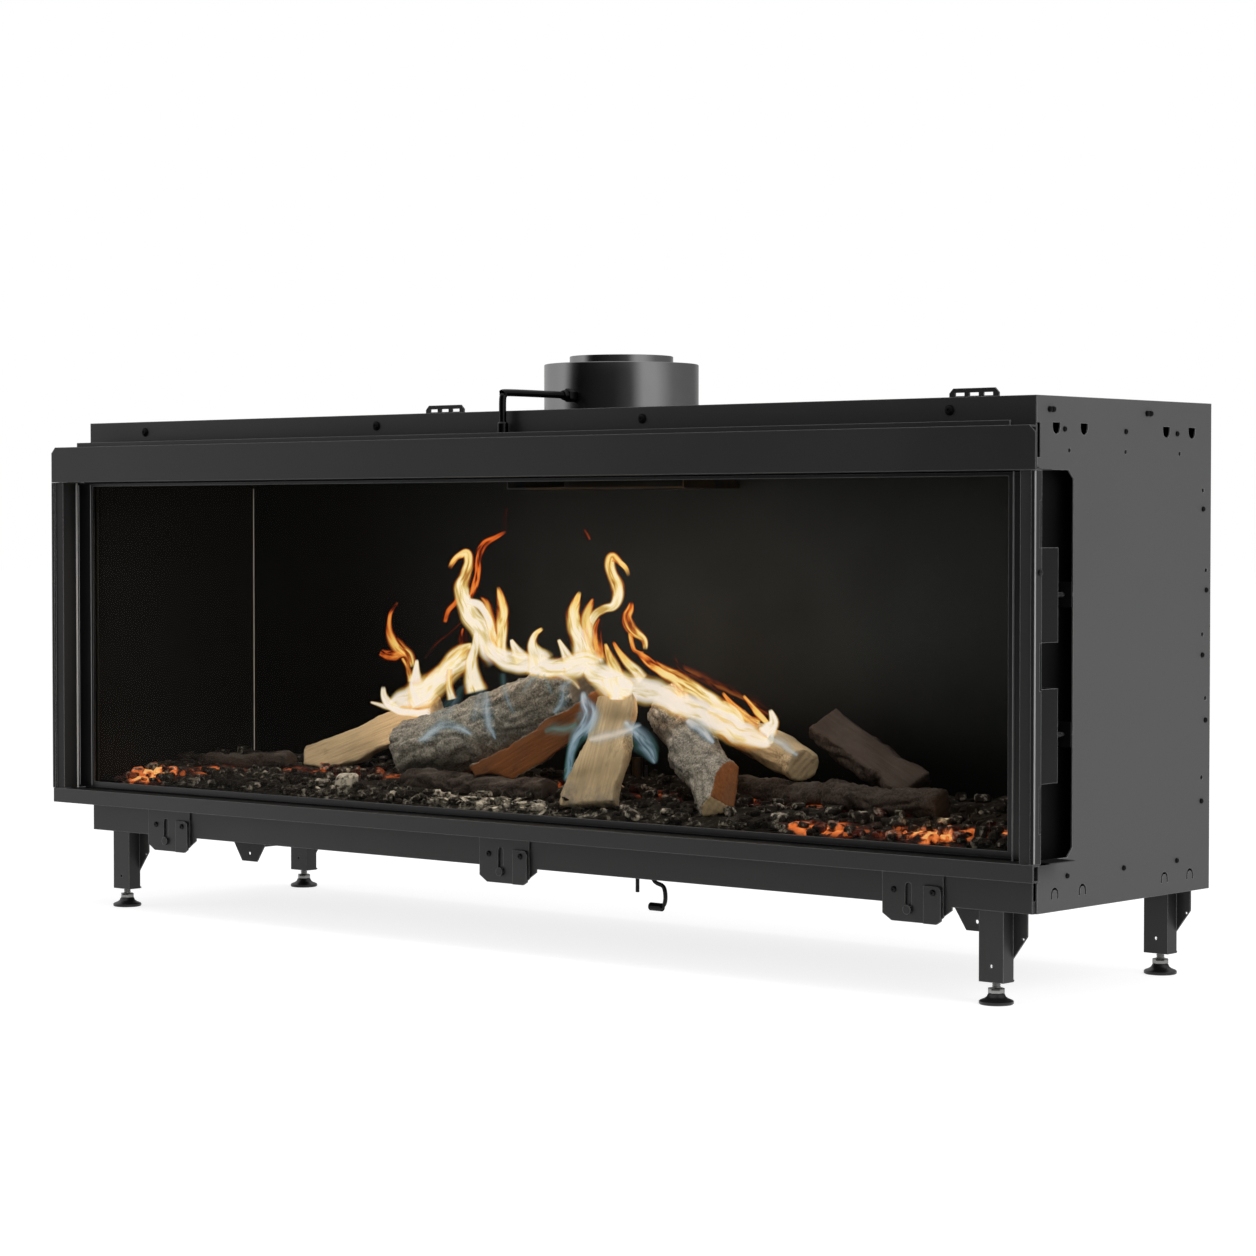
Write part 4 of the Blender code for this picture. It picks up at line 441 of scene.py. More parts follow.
def ember_material(name, coal, ash, glow):
    """Charcoal and vermiculite lumps: black to ash grey, split by orange heat where the burner runs below."""
    material, tree, shader = new_material(name)
    place = object_place(tree)
    crust = patches(tree, place, 9 * MM, 5.0, Roughness=0.62)
    spark = patches(tree, place, 14 * MM, 3.0)
    mixed = maths(tree, "ADD", attribute(tree, "tone"), span(tree, crust, 0.34, 0.66, -0.42, 0.50))
    colour = ramp(tree, mixed, ((0.05, shade(coal, 0.4)), (0.45, coal), (0.70, shade(ash, 0.45)),
                                (0.95, ash)))
    hot = maths(tree, "MULTIPLY", attribute(tree, "warmth"), span(tree, spark, 0.30, 0.56, 0.0, 1.35))
    fire = ramp(tree, hot, ((0.25, srgb("000000")), (0.42, srgb("3A0C06")), (0.58, shade(glow, 0.5)),
                            (0.78, glow), (1.0, srgb("F9B870"))))
    fill(tree, shader, {
        "Base Color": colour, "Roughness": 0.92, "Specular IOR Level": 0.3, "Emission Color": fire,
        "Emission Strength": 1.15, "Normal": relief(tree, crust, 0.7, 1.5 * MM)})
    return material


def flame_material(name, stops, strength):
    """Burning gas: light with no surface, even along its core, parted by a few long streaks and soft at its
    edges. The sheets carry a map, u across and v along, and attributes for heat, cover and flow in metres."""
    material, tree, shader = new_material(name)
    material.cycles.emission_sampling = "NONE"
    parts = axes(tree, add_node(tree, "UVMap", uv_map="sheet").outputs["UV"])
    flow = attribute(tree, "flow", "Vector")
    heat, cover = attribute(tree, "warmth"), attribute(tree, "cover")
    edge = maths(tree, "ABSOLUTE", maths(tree, "SUBTRACT", maths(tree, "MULTIPLY", parts["X"], 2.0), 1.0))
    streaks = patches(tree, stretched(tree, flow, (1.0, 0.13, 0.01)), 5 * MM, 2.0, Distortion=0.3)
    core = span(tree, cover, 0.40, 0.97, -0.5, 0.45)
    body = span(tree, edge, 1.0, core, 0.0, 1.0, "SMOOTHSTEP")
    foot = span(tree, parts["Y"], 0.0, 0.08, 0.0, 1.0, "SMOOTHSTEP")
    tip = span(tree, parts["Y"], 0.90, 1.0, 1.0, 0.0, "SMOOTHSTEP")
    parted = span(tree, streaks, 0.32, 0.52, span(tree, heat, 0.5, 1.0, 0.30, 0.72), 1.0)
    dense = maths(tree, "MULTIPLY", maths(tree, "MULTIPLY", body, parted), maths(tree, "MULTIPLY", foot, tip))
    rim = maths(tree, "MULTIPLY", span(tree, body, 1.0, 0.15, 0.0, 1.0, "SMOOTHSTEP"), 1.2)
    thin = maths(tree, "ADD", rim, span(tree, parted, 0.3, 1.0, 0.7, 0.0))
    cooler = maths(tree, "MULTIPLY", thin, span(tree, heat, 0.4, 1.0, 0.34, 0.36))
    warmth = maths(tree, "SUBTRACT", maths(tree, "ADD", heat, spread(tree, streaks, -0.16, 0.12)), cooler)
    fill(tree, shader, {
        "Base Color": srgb("000000"), "Roughness": 1.0, "Specular IOR Level": 0.0,
        "Emission Color": ramp(tree, warmth, stops), "Emission Strength": strength,
        "Alpha": maths(tree, "MULTIPLY", dense, cover)})
    return material


# Mesh tools


def face_outward(bm):
    """Turn the faces of closed shapes outward."""
    bmesh.ops.recalc_face_normals(bm, faces=bm.faces[:])


def add_piece(name, bm, body, material, stands_for=(), sharp=40.0):
    """Write a bmesh as a piece that rides on a CAD body."""
    mesh = bpy.data.meshes.new(name)
    bm.to_mesh(mesh)
    bm.free()
    mesh.shade_smooth()
    mesh.set_sharp_from_angle(angle=math.radians(sharp))
    mesh.materials.append(material)
    piece = bpy.data.objects.new(name, mesh)
    bpy.context.scene.collection.objects.link(piece)
    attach(piece, body)
    if stands_for:
        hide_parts(*stands_for)


def merge_into(bm, part, matrix):
    """Add a moved copy of one bmesh to another."""
    copy = part.copy()
    copy.transform(matrix)
    mesh = bpy.data.meshes.new("part")
    copy.to_mesh(mesh)
    copy.free()
    bm.from_mesh(mesh)
    bpy.data.meshes.remove(mesh)


def turned(profile, steps=72, closed=False):
    """A profile of (radius, height) points turned round Z."""
    bm = bmesh.new()
    verts = [bm.verts.new((radius, 0, height)) for radius, height in profile]
    edges = [bm.edges.new(pair) for pair in zip(verts, verts[1:] + verts[:1] if closed else verts[1:])]
    bmesh.ops.spin(bm, geom=verts + edges, cent=(0, 0, 0), axis=(0, 0, 1), angle=math.tau, steps=steps,
                   use_merge=True)
    bmesh.ops.remove_doubles(bm, verts=bm.verts[:], dist=0.001 * MM)
    face_outward(bm)
    return bm


def hex_nut(radius, height, chamfer):
    """A hexagon with its corners chamfered at both ends, its middle at the origin."""
    bm = bmesh.new()
    bmesh.ops.create_cone(bm, cap_ends=True, segments=6, radius1=radius, radius2=radius, depth=height)
    rims = [edge for edge in bm.edges if abs(edge.verts[0].co.z - edge.verts[1].co.z) < height / 2]
    bmesh.ops.bevel(bm, geom=rims, offset=chamfer, segments=2, profile=0.5, affect="EDGES", material=-1)
    face_outward(bm)
    return bm


def screw_head(radius, rise, washer=0.0):
    """A pan head with a round drive recess, standing on z = 0."""
    bm = bmesh.new()
    bmesh.ops.create_cone(bm, cap_ends=True, segments=20, radius1=radius, radius2=radius * 0.86, depth=rise,
                          matrix=Matrix.Translation((0, 0, rise / 2)))
    top = max(bm.faces, key=lambda face: face.calc_center_median().z)
    bmesh.ops.bevel(bm, geom=list(top.edges), offset=rise * 0.35, segments=3, profile=0.5, affect="EDGES",
                    material=-1)
    top = max(bm.faces, key=lambda face: (round(face.calc_center_median().z, 6), face.calc_area()))
    bmesh.ops.inset_individual(bm, faces=[top], thickness=radius * 0.34, depth=0)
    bmesh.ops.inset_individual(bm, faces=[top], thickness=radius * 0.04, depth=-rise * 0.55)
    if washer:
        bmesh.ops.create_cone(bm, cap_ends=True, segments=20, radius1=washer, radius2=washer * 0.97,
                              depth=rise * 0.3, matrix=Matrix.Translation((0, 0, rise * 0.15)))
    face_outward(bm)
    return bm


def add_blocks(name, corners, body, material):
    """Boxes as one piece, each between two corners."""
    bm = bmesh.new()
    for corner, opposite in corners:
        first, second = Vector(corner), Vector(opposite)
        size = Vector(abs(a - b) for a, b in zip(first, second))
        place = Matrix.Translation((first + second) / 2)
        bmesh.ops.create_cube(bm, size=1, matrix=place @ Matrix.Diagonal((*size, 1)))
    add_piece(name, bm, body, material)


def facing(place, direction, spin=0.0):
    """A matrix that stands +Z on a direction at a place."""
    turn = Vector((0, 0, 1)).rotation_difference(Vector(direction)).to_matrix().to_4x4()
    return Matrix.Translation(place) @ turn @ Matrix.Rotation(spin, 4, "Z")


def add_screws(name, places, direction, body, material, radius, rise, washer=0.0):
    """A row of like screws as one piece."""
    bm = bmesh.new()
    head = screw_head(radius, rise, washer)
    for index, place in enumerate(places):
        merge_into(bm, head, facing(place, direction, index * 0.7))
    head.free()
    add_piece(name, bm, body, material)


def smooth_path(points, count):
    """Points along a smooth curve through the given ones."""
    ends = [Vector(points[0])] + [Vector(point) for point in points] + [Vector(points[-1])]
    path = []
    for step in range(count + 1):
        place = step / count * (len(points) - 1)
        run = min(int(place), len(points) - 2)
        t = place - run
        a, b, c, d = ends[run:run + 4]
        path.append((b * 2 + (c - a) * t + (a * 2 - b * 5 + c * 4 - d) * t * t
                     + (b * 3 - a - c * 3 + d) * t * t * t) / 2)
    return path


def tube(path, radius, sides=16):
    """A closed round tube along points."""
    bm = bmesh.new()
    rings = []
    normal = Vector((1, 0, 0))
    for index, point in enumerate(path):
        ahead = path[min(index + 1, len(path) - 1)] - path[max(index - 1, 0)]
        ahead.normalize()
        normal = normal - ahead * normal.dot(ahead)
        normal = normal.normalized() if normal.length > 0.01 else ahead.orthogonal().normalized()
        turn = Matrix((normal, ahead.cross(normal), ahead)).transposed().to_4x4()
        stand = Matrix.Translation(point) @ turn
        rings.append(bmesh.ops.create_circle(bm, segments=sides, radius=radius, matrix=stand)["verts"])
    for first, second in zip(rings, rings[1:]):
        loops = [list({edge for vert in ring for edge in vert.link_edges
                       if edge.verts[0] in ring and edge.verts[1] in ring}) for ring in (first, second)]
        bmesh.ops.bridge_loops(bm, edges=loops[0] + loops[1])
    for ring in (rings[0], rings[-1]):
        bmesh.ops.contextual_create(bm, geom=ring)
    face_outward(bm)
    return bm


def finish_nodes(material, *names):
    """Give carried-over CAD nodes their material."""
    for name in names:
        for slot in NODES[name].material_slots:
            slot.material = material


# Sizes and colours a user would change


class FireplaceSizes(PropertyGroup):
    """Sizes of the fine detail."""

    screw_radius: FloatProperty(
        name="Screw head radius", description="Radius of the small pan heads",
        default=3.4 * MM, min=1 * MM, max=8 * MM, unit="LENGTH", precision=4)
    screw_rise: FloatProperty(
        name="Screw head height", description="How far a pan head stands out",
        default=1.8 * MM, min=0.5 * MM, max=5 * MM, unit="LENGTH", precision=4)
    thread_pitch: FloatProperty(
        name="Foot thread pitch", description="Pitch of the levelling spindle's thread",
        default=1.75 * MM, min=0.5 * MM, max=3 * MM, unit="LENGTH", precision=5)
    log_fineness: FloatProperty(
        name="Log fineness", description="Size of one facet of a log's surface",
        default=2.4 * MM, min=1.5 * MM, max=8 * MM, unit="LENGTH", precision=4)
    bark_depth: FloatProperty(
        name="Bark depth", description="Depth of the furrows in the bark",
        default=3.2 * MM, min=0.0, max=8 * MM, unit="LENGTH", precision=4)
    fibre_depth: FloatProperty(
        name="Fibre depth", description="Relief of the split wood's fibres",
        default=0.9 * MM, min=0.0, max=3 * MM, unit="LENGTH", precision=4)
    lump_count: IntProperty(
        name="Ember lumps", description="Number of charcoal lumps on the bed",
        default=900, min=100, max=3000)
    lump_radius: FloatProperty(
        name="Ember lump radius", description="Radius of a middling charcoal lump",
        default=9.5 * MM, min=2 * MM, max=15 * MM, unit="LENGTH", precision=4)
    flake_count: IntProperty(
        name="Ash flakes", description="Number of pale ash flakes on the bed",
        default=1500, min=0, max=4000)
    flame_height: FloatProperty(
        name="Flame height share", description="Height of the flames, 1 as photographed",
        default=1.0, min=0.3, max=1.3, subtype="FACTOR")


class FireplaceColours(PropertyGroup):
    """Colours of the finishes."""

    frame_paint: FloatVectorProperty(
        name="Frame paint", description="Powder coat of the frame and the casing front",
        subtype="COLOR", size=4, min=0, max=1, default=srgb("1A1A1A"))
    # The side sheets wear the same black coat as the frame; this lighter grey is painted light, for the light
    # from the right that falls on them.
    side_sheet_lit_paint: FloatVectorProperty(
        name="Side sheet paint", description="Powder coat of the side sheets",
        subtype="COLOR", size=4, min=0, max=1, default=srgb("4A4A4A"))
    stove_paint: FloatVectorProperty(
        name="Stove paint", description="Heat-resistant paint inside the firebox",
        subtype="COLOR", size=4, min=0, max=1, default=srgb("0C0B0B"))
    # The lighter grey painted into the back sheet on its right part: painted light.
    back_painted_light: FloatVectorProperty(
        name="Greyed stove paint", description="Paint of the back where heat greyed it",
        subtype="COLOR", size=4, min=0, max=1, default=srgb("1F2225"))
    flue_steel: FloatVectorProperty(
        name="Flue steel", description="Dark enamelled steel of the flue",
        subtype="COLOR", size=4, min=0, max=1, default=srgb("868686"))
    zinc: FloatVectorProperty(
        name="Zinc plating", description="Plating of the levelling feet",
        subtype="COLOR", size=4, min=0, max=1, default=srgb("8C8C8A"))
    black_oxide: FloatVectorProperty(
        name="Black oxide", description="Blackened screws, nuts and pipes",
        subtype="COLOR", size=4, min=0, max=1, default=srgb("2C2C2C"))
    glass: FloatVectorProperty(
        name="Glass tint", description="Light that the glass lets through",
        subtype="COLOR", size=4, min=0, max=1, default=srgb("F4F2EC"))
    grey_bark: FloatVectorProperty(
        name="Grey bark", description="Painted bark of the large logs",
        subtype="COLOR", size=4, min=0, max=1, default=srgb("8E8B88"))
    dark_bark: FloatVectorProperty(
        name="Dark bark", description="Painted bark of the burnt logs",
        subtype="COLOR", size=4, min=0, max=1, default=srgb("3E3634"))
    pale_wood: FloatVectorProperty(
        name="Pale split wood", description="Split faces and saw cuts of pale logs",
        subtype="COLOR", size=4, min=0, max=1, default=srgb("C2AE90"))
    brown_wood: FloatVectorProperty(
        name="Brown split wood", description="Split faces of brown logs",
        subtype="COLOR", size=4, min=0, max=1, default=srgb("825233"))
    coal: FloatVectorProperty(
        name="Charcoal", description="Lumps of the ember bed",
        subtype="COLOR", size=4, min=0, max=1, default=srgb("2B2725"))
    ash: FloatVectorProperty(
        name="Ash", description="Ash on the lumps and the pale flakes",
        subtype="COLOR", size=4, min=0, max=1, default=srgb("B9B4AD"))
    glow: FloatVectorProperty(
        name="Ember glow", description="Heat between the lumps",
        subtype="COLOR", size=4, min=0, max=1, default=srgb("EE7A3C"))


def sizes():
    """The sizes set in the panel."""
    return bpy.context.scene.fireplace_sizes


def colours():
    """The colours set in the panel."""
    return bpy.context.scene.fireplace_colours


# Stage

# The studio's soft boxes: the place of each, the point it looks at, its width and its power
SOFT_BOXES = {
    "key_right": ((3.6, -0.6, 1.7), (0.6, 0.0, 0.4), 2.4, 62),
    "fill_left": ((-3.2, -3.4, 1.6), (0.0, 0.0, 0.4), 2.4, 30),
    "top_soft": ((0.0, -0.4, 3.6), (0.0, 0.0, 0.3), 2.6, 40),
}
# The long light under the top of the opening, given in the same way, and how narrow it is
HEARTH_LIGHT = ((0.0, -0.145, 0.560), (0.0, -0.02, 0.20), 1.35, 3.2)
HEARTH_LIGHT_DEPTH = 0.04
# The grey of the studio's walls by azimuth in degrees: bright screens at both sides and a dark flag in front
STUDIO_WALLS = ((-180, 0.28), (-130, 0.50), (-95, 0.72), (-55, 1.0), (-39, 0.08), (-28, 0.01), (30, 0.05),
                (56, 0.16), (74, 1.0), (94, 1.0), (124, 0.42), (180, 0.28))


def add_hidden_lamp(lamp):
    """Add a lamp that lights the scene and isn't seen itself; the white room supplies the reflections."""
    lamp.visible_camera = lamp.visible_glossy = lamp.visible_transmission = False
    bpy.context.scene.collection.objects.link(lamp)


def area_light(name, place, target, size, power, colour=(1, 1, 1), depth=None):
    """A soft box that looks at a point."""
    data = bpy.data.lights.new(name, "AREA")
    data.shape, data.size, data.energy, data.color = "RECTANGLE", size, power, colour
    data.size_y = depth or size
    lamp = bpy.data.objects.new(name, data)
    lamp.location = place
    lamp.rotation_euler = (Vector(target) - Vector(place)).to_track_quat("-Z", "Y").to_euler()
    add_hidden_lamp(lamp)


def studio_tone(tree, vector):
    """The grey of the studio in a direction: its walls all round, and white overhead."""
    parts = axes(tree, vector)
    turn = maths(tree, "ARCTAN2", parts["X"], maths(tree, "MULTIPLY", parts["Y"], -1.0))
    walls = ramp(tree, span(tree, turn, -math.pi, math.pi),
                 [((azimuth / 180 + 1) / 2, (tone, tone, tone, 1)) for azimuth, tone in STUDIO_WALLS])
    return blend_colours(tree, span(tree, parts["Z"], 0.45, 0.85), walls, srgb("FFFFFF"))


class FIREPLACE_OT_stage(Operator):
    """Set the camera, the pale floor and the soft studio light"""

    bl_idname = "fireplace.stage"
    bl_label = "Stage"

    def execute(self, context):
        scene = context.scene
        scene.view_settings.view_transform = "Standard"
        self.camera(scene)
        self.floor(scene)
        self.studio(scene)
        for name, box in SOFT_BOXES.items():
            area_light(name, *box)
        area_light("hearth_soft", *HEARTH_LIGHT, srgb("FFFAF4")[:3], HEARTH_LIGHT_DEPTH)
        return {"FINISHED"}

    def camera(self, scene):
        """The camera of the photograph."""
        data = bpy.data.cameras.new("photo_view")
        data.lens, data.sensor_width = CAMERA_LENS, SENSOR
        camera = bpy.data.objects.new("photo_view", data)
        camera.location = CAMERA_PLACE
        camera.rotation_euler = view_axes()[2].to_track_quat("-Z", "Y").to_euler()
        scene.collection.objects.link(camera)
        scene.camera = camera

    def floor(self, scene):
        """A wide sheet of white studio paper."""
        bm = bmesh.new()
        bmesh.ops.create_grid(bm, x_segments=1, y_segments=1, size=30)
        mesh = bpy.data.meshes.new("studio_floor")
        bm.to_mesh(mesh)
        bm.free()
        floor = bpy.data.objects.new("studio_floor", mesh)
        scene.collection.objects.link(floor)
        material, tree, shader = new_material("white_studio_floor")
        # Seen directly the paper is white and keeps the shadow, and the light that it gives back is pale grey
        fill(tree, shader, {"Base Color": srgb("E2E2E2"), "Roughness": 0.9, "Specular IOR Level": 0.1})
        path = add_node(tree, "LightPath").outputs
        way = add_node(tree, "VectorMath", {0: object_place(tree)}, operation="NORMALIZE").outputs[0]
        # Metal close to the paper mirrors it at least as the grey of FLOOR_TONE
        near = span(tree, axes(tree, object_place(tree))["Y"], *FLOOR_NEAR, 0.0, FLOOR_TONE)
        room = blend_colours(tree, 1.0, studio_tone(tree, way), near, "LIGHTEN")
        mirrored = blend_colours(tree, path["Is Glossy Ray"], srgb("FFFFFF"), room)
        paper = add_node(tree, "BsdfDiffuse", {"Color": blend_colours(tree, 0.42, srgb("000000"), mirrored)})
        lit = add_node(tree, "Emission", {"Color": mirrored, "Strength": 0.80})
        seen = add_node(tree, "AddShader", {0: paper.outputs["BSDF"], 1: lit.outputs["Emission"]})
        both = add_node(tree, "MixShader", {0: self.looked_at(tree), 1: shader.outputs["BSDF"],
                                            2: seen.outputs[0]})
        tree.links.new(both.outputs["Shader"], tree.nodes["Material Output"].inputs["Surface"])
        mesh.materials.append(material)

    def looked_at(self, tree):
        """1 for camera, glossy and transmission rays."""
        path = add_node(tree, "LightPath").outputs
        share = maths(tree, "MAXIMUM", path["Is Camera Ray"], path["Is Glossy Ray"])
        return maths(tree, "MAXIMUM", share, path["Is Transmission Ray"])

    def studio(self, scene):
        """The room: white where it is looked at, and screens and a dark flag where metal mirrors it."""
        world = bpy.data.worlds.new("white_studio")
        world.use_nodes = True
        scene.world = world
        tree = world.node_tree
        tree.nodes.clear()
        path = add_node(tree, "LightPath").outputs
        tone = studio_tone(tree, add_node(tree, "TexCoord").outputs["Generated"])
        mirrored = blend_colours(tree, path["Is Glossy Ray"], srgb("FFFFFF"), tone)
        seen = add_node(tree, "Background", {"Color": mirrored, "Strength": 1.0})
        soft = add_node(tree, "Background", {"Color": srgb("FFFFFF"), "Strength": 0.50})
        both = add_node(tree, "MixShader", {0: self.looked_at(tree), 1: soft.outputs[0], 2: seen.outputs[0]})
        add_node(tree, "OutputWorld", {"Surface": both.outputs["Shader"]})


# Steel pieces

# Screws of the front band, across as shares of its half width, and how far they sit below the casing's top
FRONT_BAND_SCREWS = (-0.854, -0.285, 0.285, 0.854)
FRONT_BAND_SCREW_DROP = 14.3 * MM
# Screws of the side sheets, each as its depth behind the front and its height
SIDE_SCREW_PAIRS = ((0.0252, 0.659), (0.0320, 0.659), (0.2225, 0.659), (0.2295, 0.659))
SIDE_SCREW_ROWS = ((0.0550, 0.6378), (0.1785, 0.6375), (0.2870, 0.6372), (0.0634, 0.143), (0.1780, 0.143),
                   (0.2905, 0.143))
REAR_EDGE_SCREWS = ((0.3446, 0.5506), (0.3522, 0.4559), (0.3441, 0.3800), (0.3515, 0.3035), (0.3435, 0.2088))
# Screws of the back sheet: heights, and places across as shares of its half width
BACK_SCREW_HEIGHTS = (0.12, 0.655)
BACK_SCREWS = (-0.93, -0.6, -0.2, 0.2, 0.6, 0.93)
# The one screw in each side profile of the frame: its height, and how far it sits behind the profile's front
FRAME_SCREW_HEIGHT = 0.4806
FRAME_SCREW_DEPTH = 9 * MM
# How far ahead of the firebox the frame's returns end, so that they stay clear when the frame is pushed in
RETURN_CLEARANCE = 6.5 * MM
# Width of the glass frame's border, and the height at which the test tube runs back to the flue
GLASS_BORDER = 25.6 * MM
TUBE_LEVEL = 0.6965


class FIREPLACE_OT_casing(Operator):
    """Paint the casing, legs and rails, and add their screws"""

    bl_idname = "fireplace.casing"
    bl_label = "Casing"

    def execute(self, context):
        c = colours()
        paint = powder_coat("satin_black_powder_coat", c.frame_paint, 0.42)
        finish_nodes(paint, "casing_base", "casing_top", "casing_back", "casing_front_band",
                     "lower_front_panel", "wall_bracket_left", "wall_bracket_right", "base_rail_left",
                     "base_rail_right")
        finish_nodes(powder_coat("leg_powder_coat", shade(c.frame_paint, 1.6), 0.45),
                     *("leg_" + foot for foot in FEET))
        # The side sheets are painted lighter than the frame: painted light from the right.
        finish_nodes(powder_coat("side_sheet_powder_coat_painted_light", c.side_sheet_lit_paint, 0.55, 0.4),
                     "casing_side_left", "casing_side_right")
        black = powder_coat("black_lacquered_screw", srgb("070707"), 0.6, 0.15, edge_highlight=0.0)
        self.front_screws(black)
        for side, sign in SIDES.items():
            self.side_screws(side, sign, black)
        self.rear_screws(black)
        return {"FINISHED"}

    def front_screws(self, black):
        """Four washer-head screws along the front band."""
        radius, rise = sizes().screw_radius, sizes().screw_rise
        places = [(share * HALF, FRONT, CASING_TOP - FRONT_BAND_SCREW_DROP) for share in FRONT_BAND_SCREWS]
        add_screws("front_band_screws", places, (0, -1, 0), "casing", black, radius * 1.4, rise * 1.8,
                   washer=radius * 1.8)

    def side_screws(self, side, sign, black):
        """Pan heads in the punched rows and along the rear edge, where the photograph shows them."""
        for kind, spots, radius, rise in (("pair", SIDE_SCREW_PAIRS, 3.3 * MM, 3.4 * MM),
                                          ("row", SIDE_SCREW_ROWS + REAR_EDGE_SCREWS, 3.1 * MM, 2.2 * MM)):
            places = [(sign * HALF, FRONT + depth, height) for depth, height in spots]
            add_screws(f"side_screw_{kind}_{side}", places, (sign, 0, 0), "casing", black, radius, rise)

    def rear_screws(self, black):
        """Two rows of pan heads across the back sheet."""
        back = high("casing_back").y
        places = [(share * HALF, back, height) for height in BACK_SCREW_HEIGHTS for share in BACK_SCREWS]
        add_screws("rear_screws", places, (0, 1, 0), "casing", black,
                   sizes().screw_radius, sizes().screw_rise)


class FIREPLACE_OT_front_frame(Operator):
    """Paint the adjustable front frame and add its screws, thin returns, foot plates and pale strips of
    painted highlight on its folds
    """

    bl_idname = "fireplace.front_frame"
    bl_label = "Front frame"

    def execute(self, context):
        c = colours()
        finish_nodes(powder_coat("frame_satin_powder_coat", c.frame_paint, 0.36, edge_highlight=0.35),
                     "frame_top_panel", "frame_bottom_strip")
        # Painted light and shade on the side profiles, in a darker copy of the frame paint: from 0.6 mm
        # behind the front the colour is painted 2.6 times lighter, for the light from the right on the flank,
        # and from 14 mm back it fades to 0.3 times by 34 mm, for the shade that the casing casts on the tabs.
        start = low("frame_side_right").y - NODES["frame_side_right"].matrix_world.translation.y
        painted_light_bands = ((start + 0.2 * MM, start + 0.6 * MM, 2.6), (start + 14 * MM, start + 34 * MM, 0.3))
        finish_nodes(powder_coat("frame_side_powder_coat_painted_light", shade(c.frame_paint, 0.9), 0.40, 0.14,
                                 edge_highlight=0.6, painted_light_bands=painted_light_bands),
                     "frame_side_left", "frame_side_right")
        dark = powder_coat("frame_return_powder_coat", shade(c.frame_paint, 0.7), 0.45, edge_highlight=0.0)
        self.frame_return("frame_bottom_return", "frame_bottom_strip",
                          high("frame_bottom_strip").z - 0.9 * MM, dark)
        self.frame_return("frame_top_return", "frame_top_panel", low("frame_top_panel").z + 0.3 * MM, dark)
        for side, sign in SIDES.items():
            self.foot_plate(side, sign, dark)
        # Painted highlight: pale strips on the side profiles' folds, for the light that they catch.
        highlight_paint = powder_coat("fold_painted_highlight", srgb("9C9C9C"), 0.5, edge_highlight=0.0)
        black = powder_coat("black_lacquered_frame_screw", srgb("070707"), 0.4, 0.4, edge_highlight=0.0)
        front = low("frame_side_right").y
        for side, sign in SIDES.items():
            self.fold_lines(side, sign, highlight_paint)
            place = (sign * high("frame_side_right").x, front + FRAME_SCREW_DEPTH, FRAME_SCREW_HEIGHT)
            add_screws("frame_side_screw_" + side, [place], (sign, 0, 0), "front_frame", black,
                       3.4 * MM, 3.0 * MM)
        return {"FINISHED"}

    def frame_return(self, name, strip, height, paint):
        """The thin sheet that a strip of the frame folds back toward the glass, clear of the firebox at any
        depth."""
        strip_low, strip_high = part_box(strip)
        start = strip_high.y - 0.5 * MM
        end = min(low(node).y for node in ("firebox_floor", "firebox_roof", "firebox_wall_left"))
        add_blocks(name, [((strip_low.x + 1 * MM, start, height - 0.6 * MM),
                           (strip_high.x - 1 * MM, end - RETURN_CLEARANCE, height + 0.6 * MM))],
                   "front_frame", paint)

    def foot_plate(self, side, sign, paint):
        """The plate that closes a side profile at its foot, outside the casing."""
        strip_high = high("frame_bottom_strip")
        inner, outer = sign * (HALF + 2.5 * MM), sign * (strip_high.x - 1 * MM)
        add_blocks("frame_foot_plate_" + side, [((inner, strip_high.y, strip_high.z - 1.5 * MM),
                                                 (outer, strip_high.y + 70 * MM, strip_high.z - 0.3 * MM))],
                   "front_frame", paint)

    def fold_lines(self, side, sign, highlight_paint):
        """Painted highlights: pale strips where a side profile shines, on its outer corner, its outer face
        and its inner fold.
        """
        box_low, box_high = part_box("frame_side_" + side)
        inner, outer = sorted((abs(box_low.x), abs(box_high.x)))
        front, foot, top = box_low.y, box_low.z + 1 * MM, box_high.z - 1 * MM
        skin = 0.2 * MM
        folds = ((outer - 0.8 * MM, outer, front - skin, front + skin),
                 (outer - skin, outer + skin, front, front + 1.6 * MM),
                 (inner - skin, inner + skin, front + 12.5 * MM, front + 15.5 * MM))
        add_blocks("frame_fold_lines_" + side,
                   [((sign * near, start, foot), (sign * far, end, top)) for near, far, start, end in folds],
                   "front_frame", highlight_paint)


class FIREPLACE_OT_glass(Operator):
    """Finish the glass, its frame and its rope seal"""

    bl_idname = "fireplace.glass"
    bl_label = "Glass"

    def execute(self, context):
        c = colours()
        finish_nodes(ceramic_glass("clear_glass_ceramic", c.glass), "glass_pane")
        finish_nodes(powder_coat("glass_frame_black_enamel", srgb("0A0A0A"), 0.30, edge_highlight=0.3),
                     "glass_frame")
        finish_nodes(glass_rope("glass_fibre_rope_seal", srgb("1C1C1B")), "glass_seal")
        # Painted highlight strips on the glass frame's left border.
        self.edge_lines(powder_coat("glass_frame_painted_highlight", srgb("A4A4A4"), 0.5, edge_highlight=0.0))
        return {"FINISHED"}

    def edge_lines(self, steel):
        """Painted highlights: pale strips on the outer and inner edges of the glass frame's left border, for
        the light that these edges catch.
        """
        frame_low, frame_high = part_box("glass_frame")
        foot, top, front = frame_low.z + 2 * MM, frame_high.z - 2 * MM, frame_low.y
        edge, skin = frame_high.x, 0.2 * MM
        lines = ((-edge, 1.3 * MM - edge), (GLASS_BORDER - edge, GLASS_BORDER - edge + 0.9 * MM))
        add_blocks("glass_frame_edge_lines",
                   [((start, front - skin, foot), (end, front + skin, top)) for start, end in lines],
                   "glass", steel)


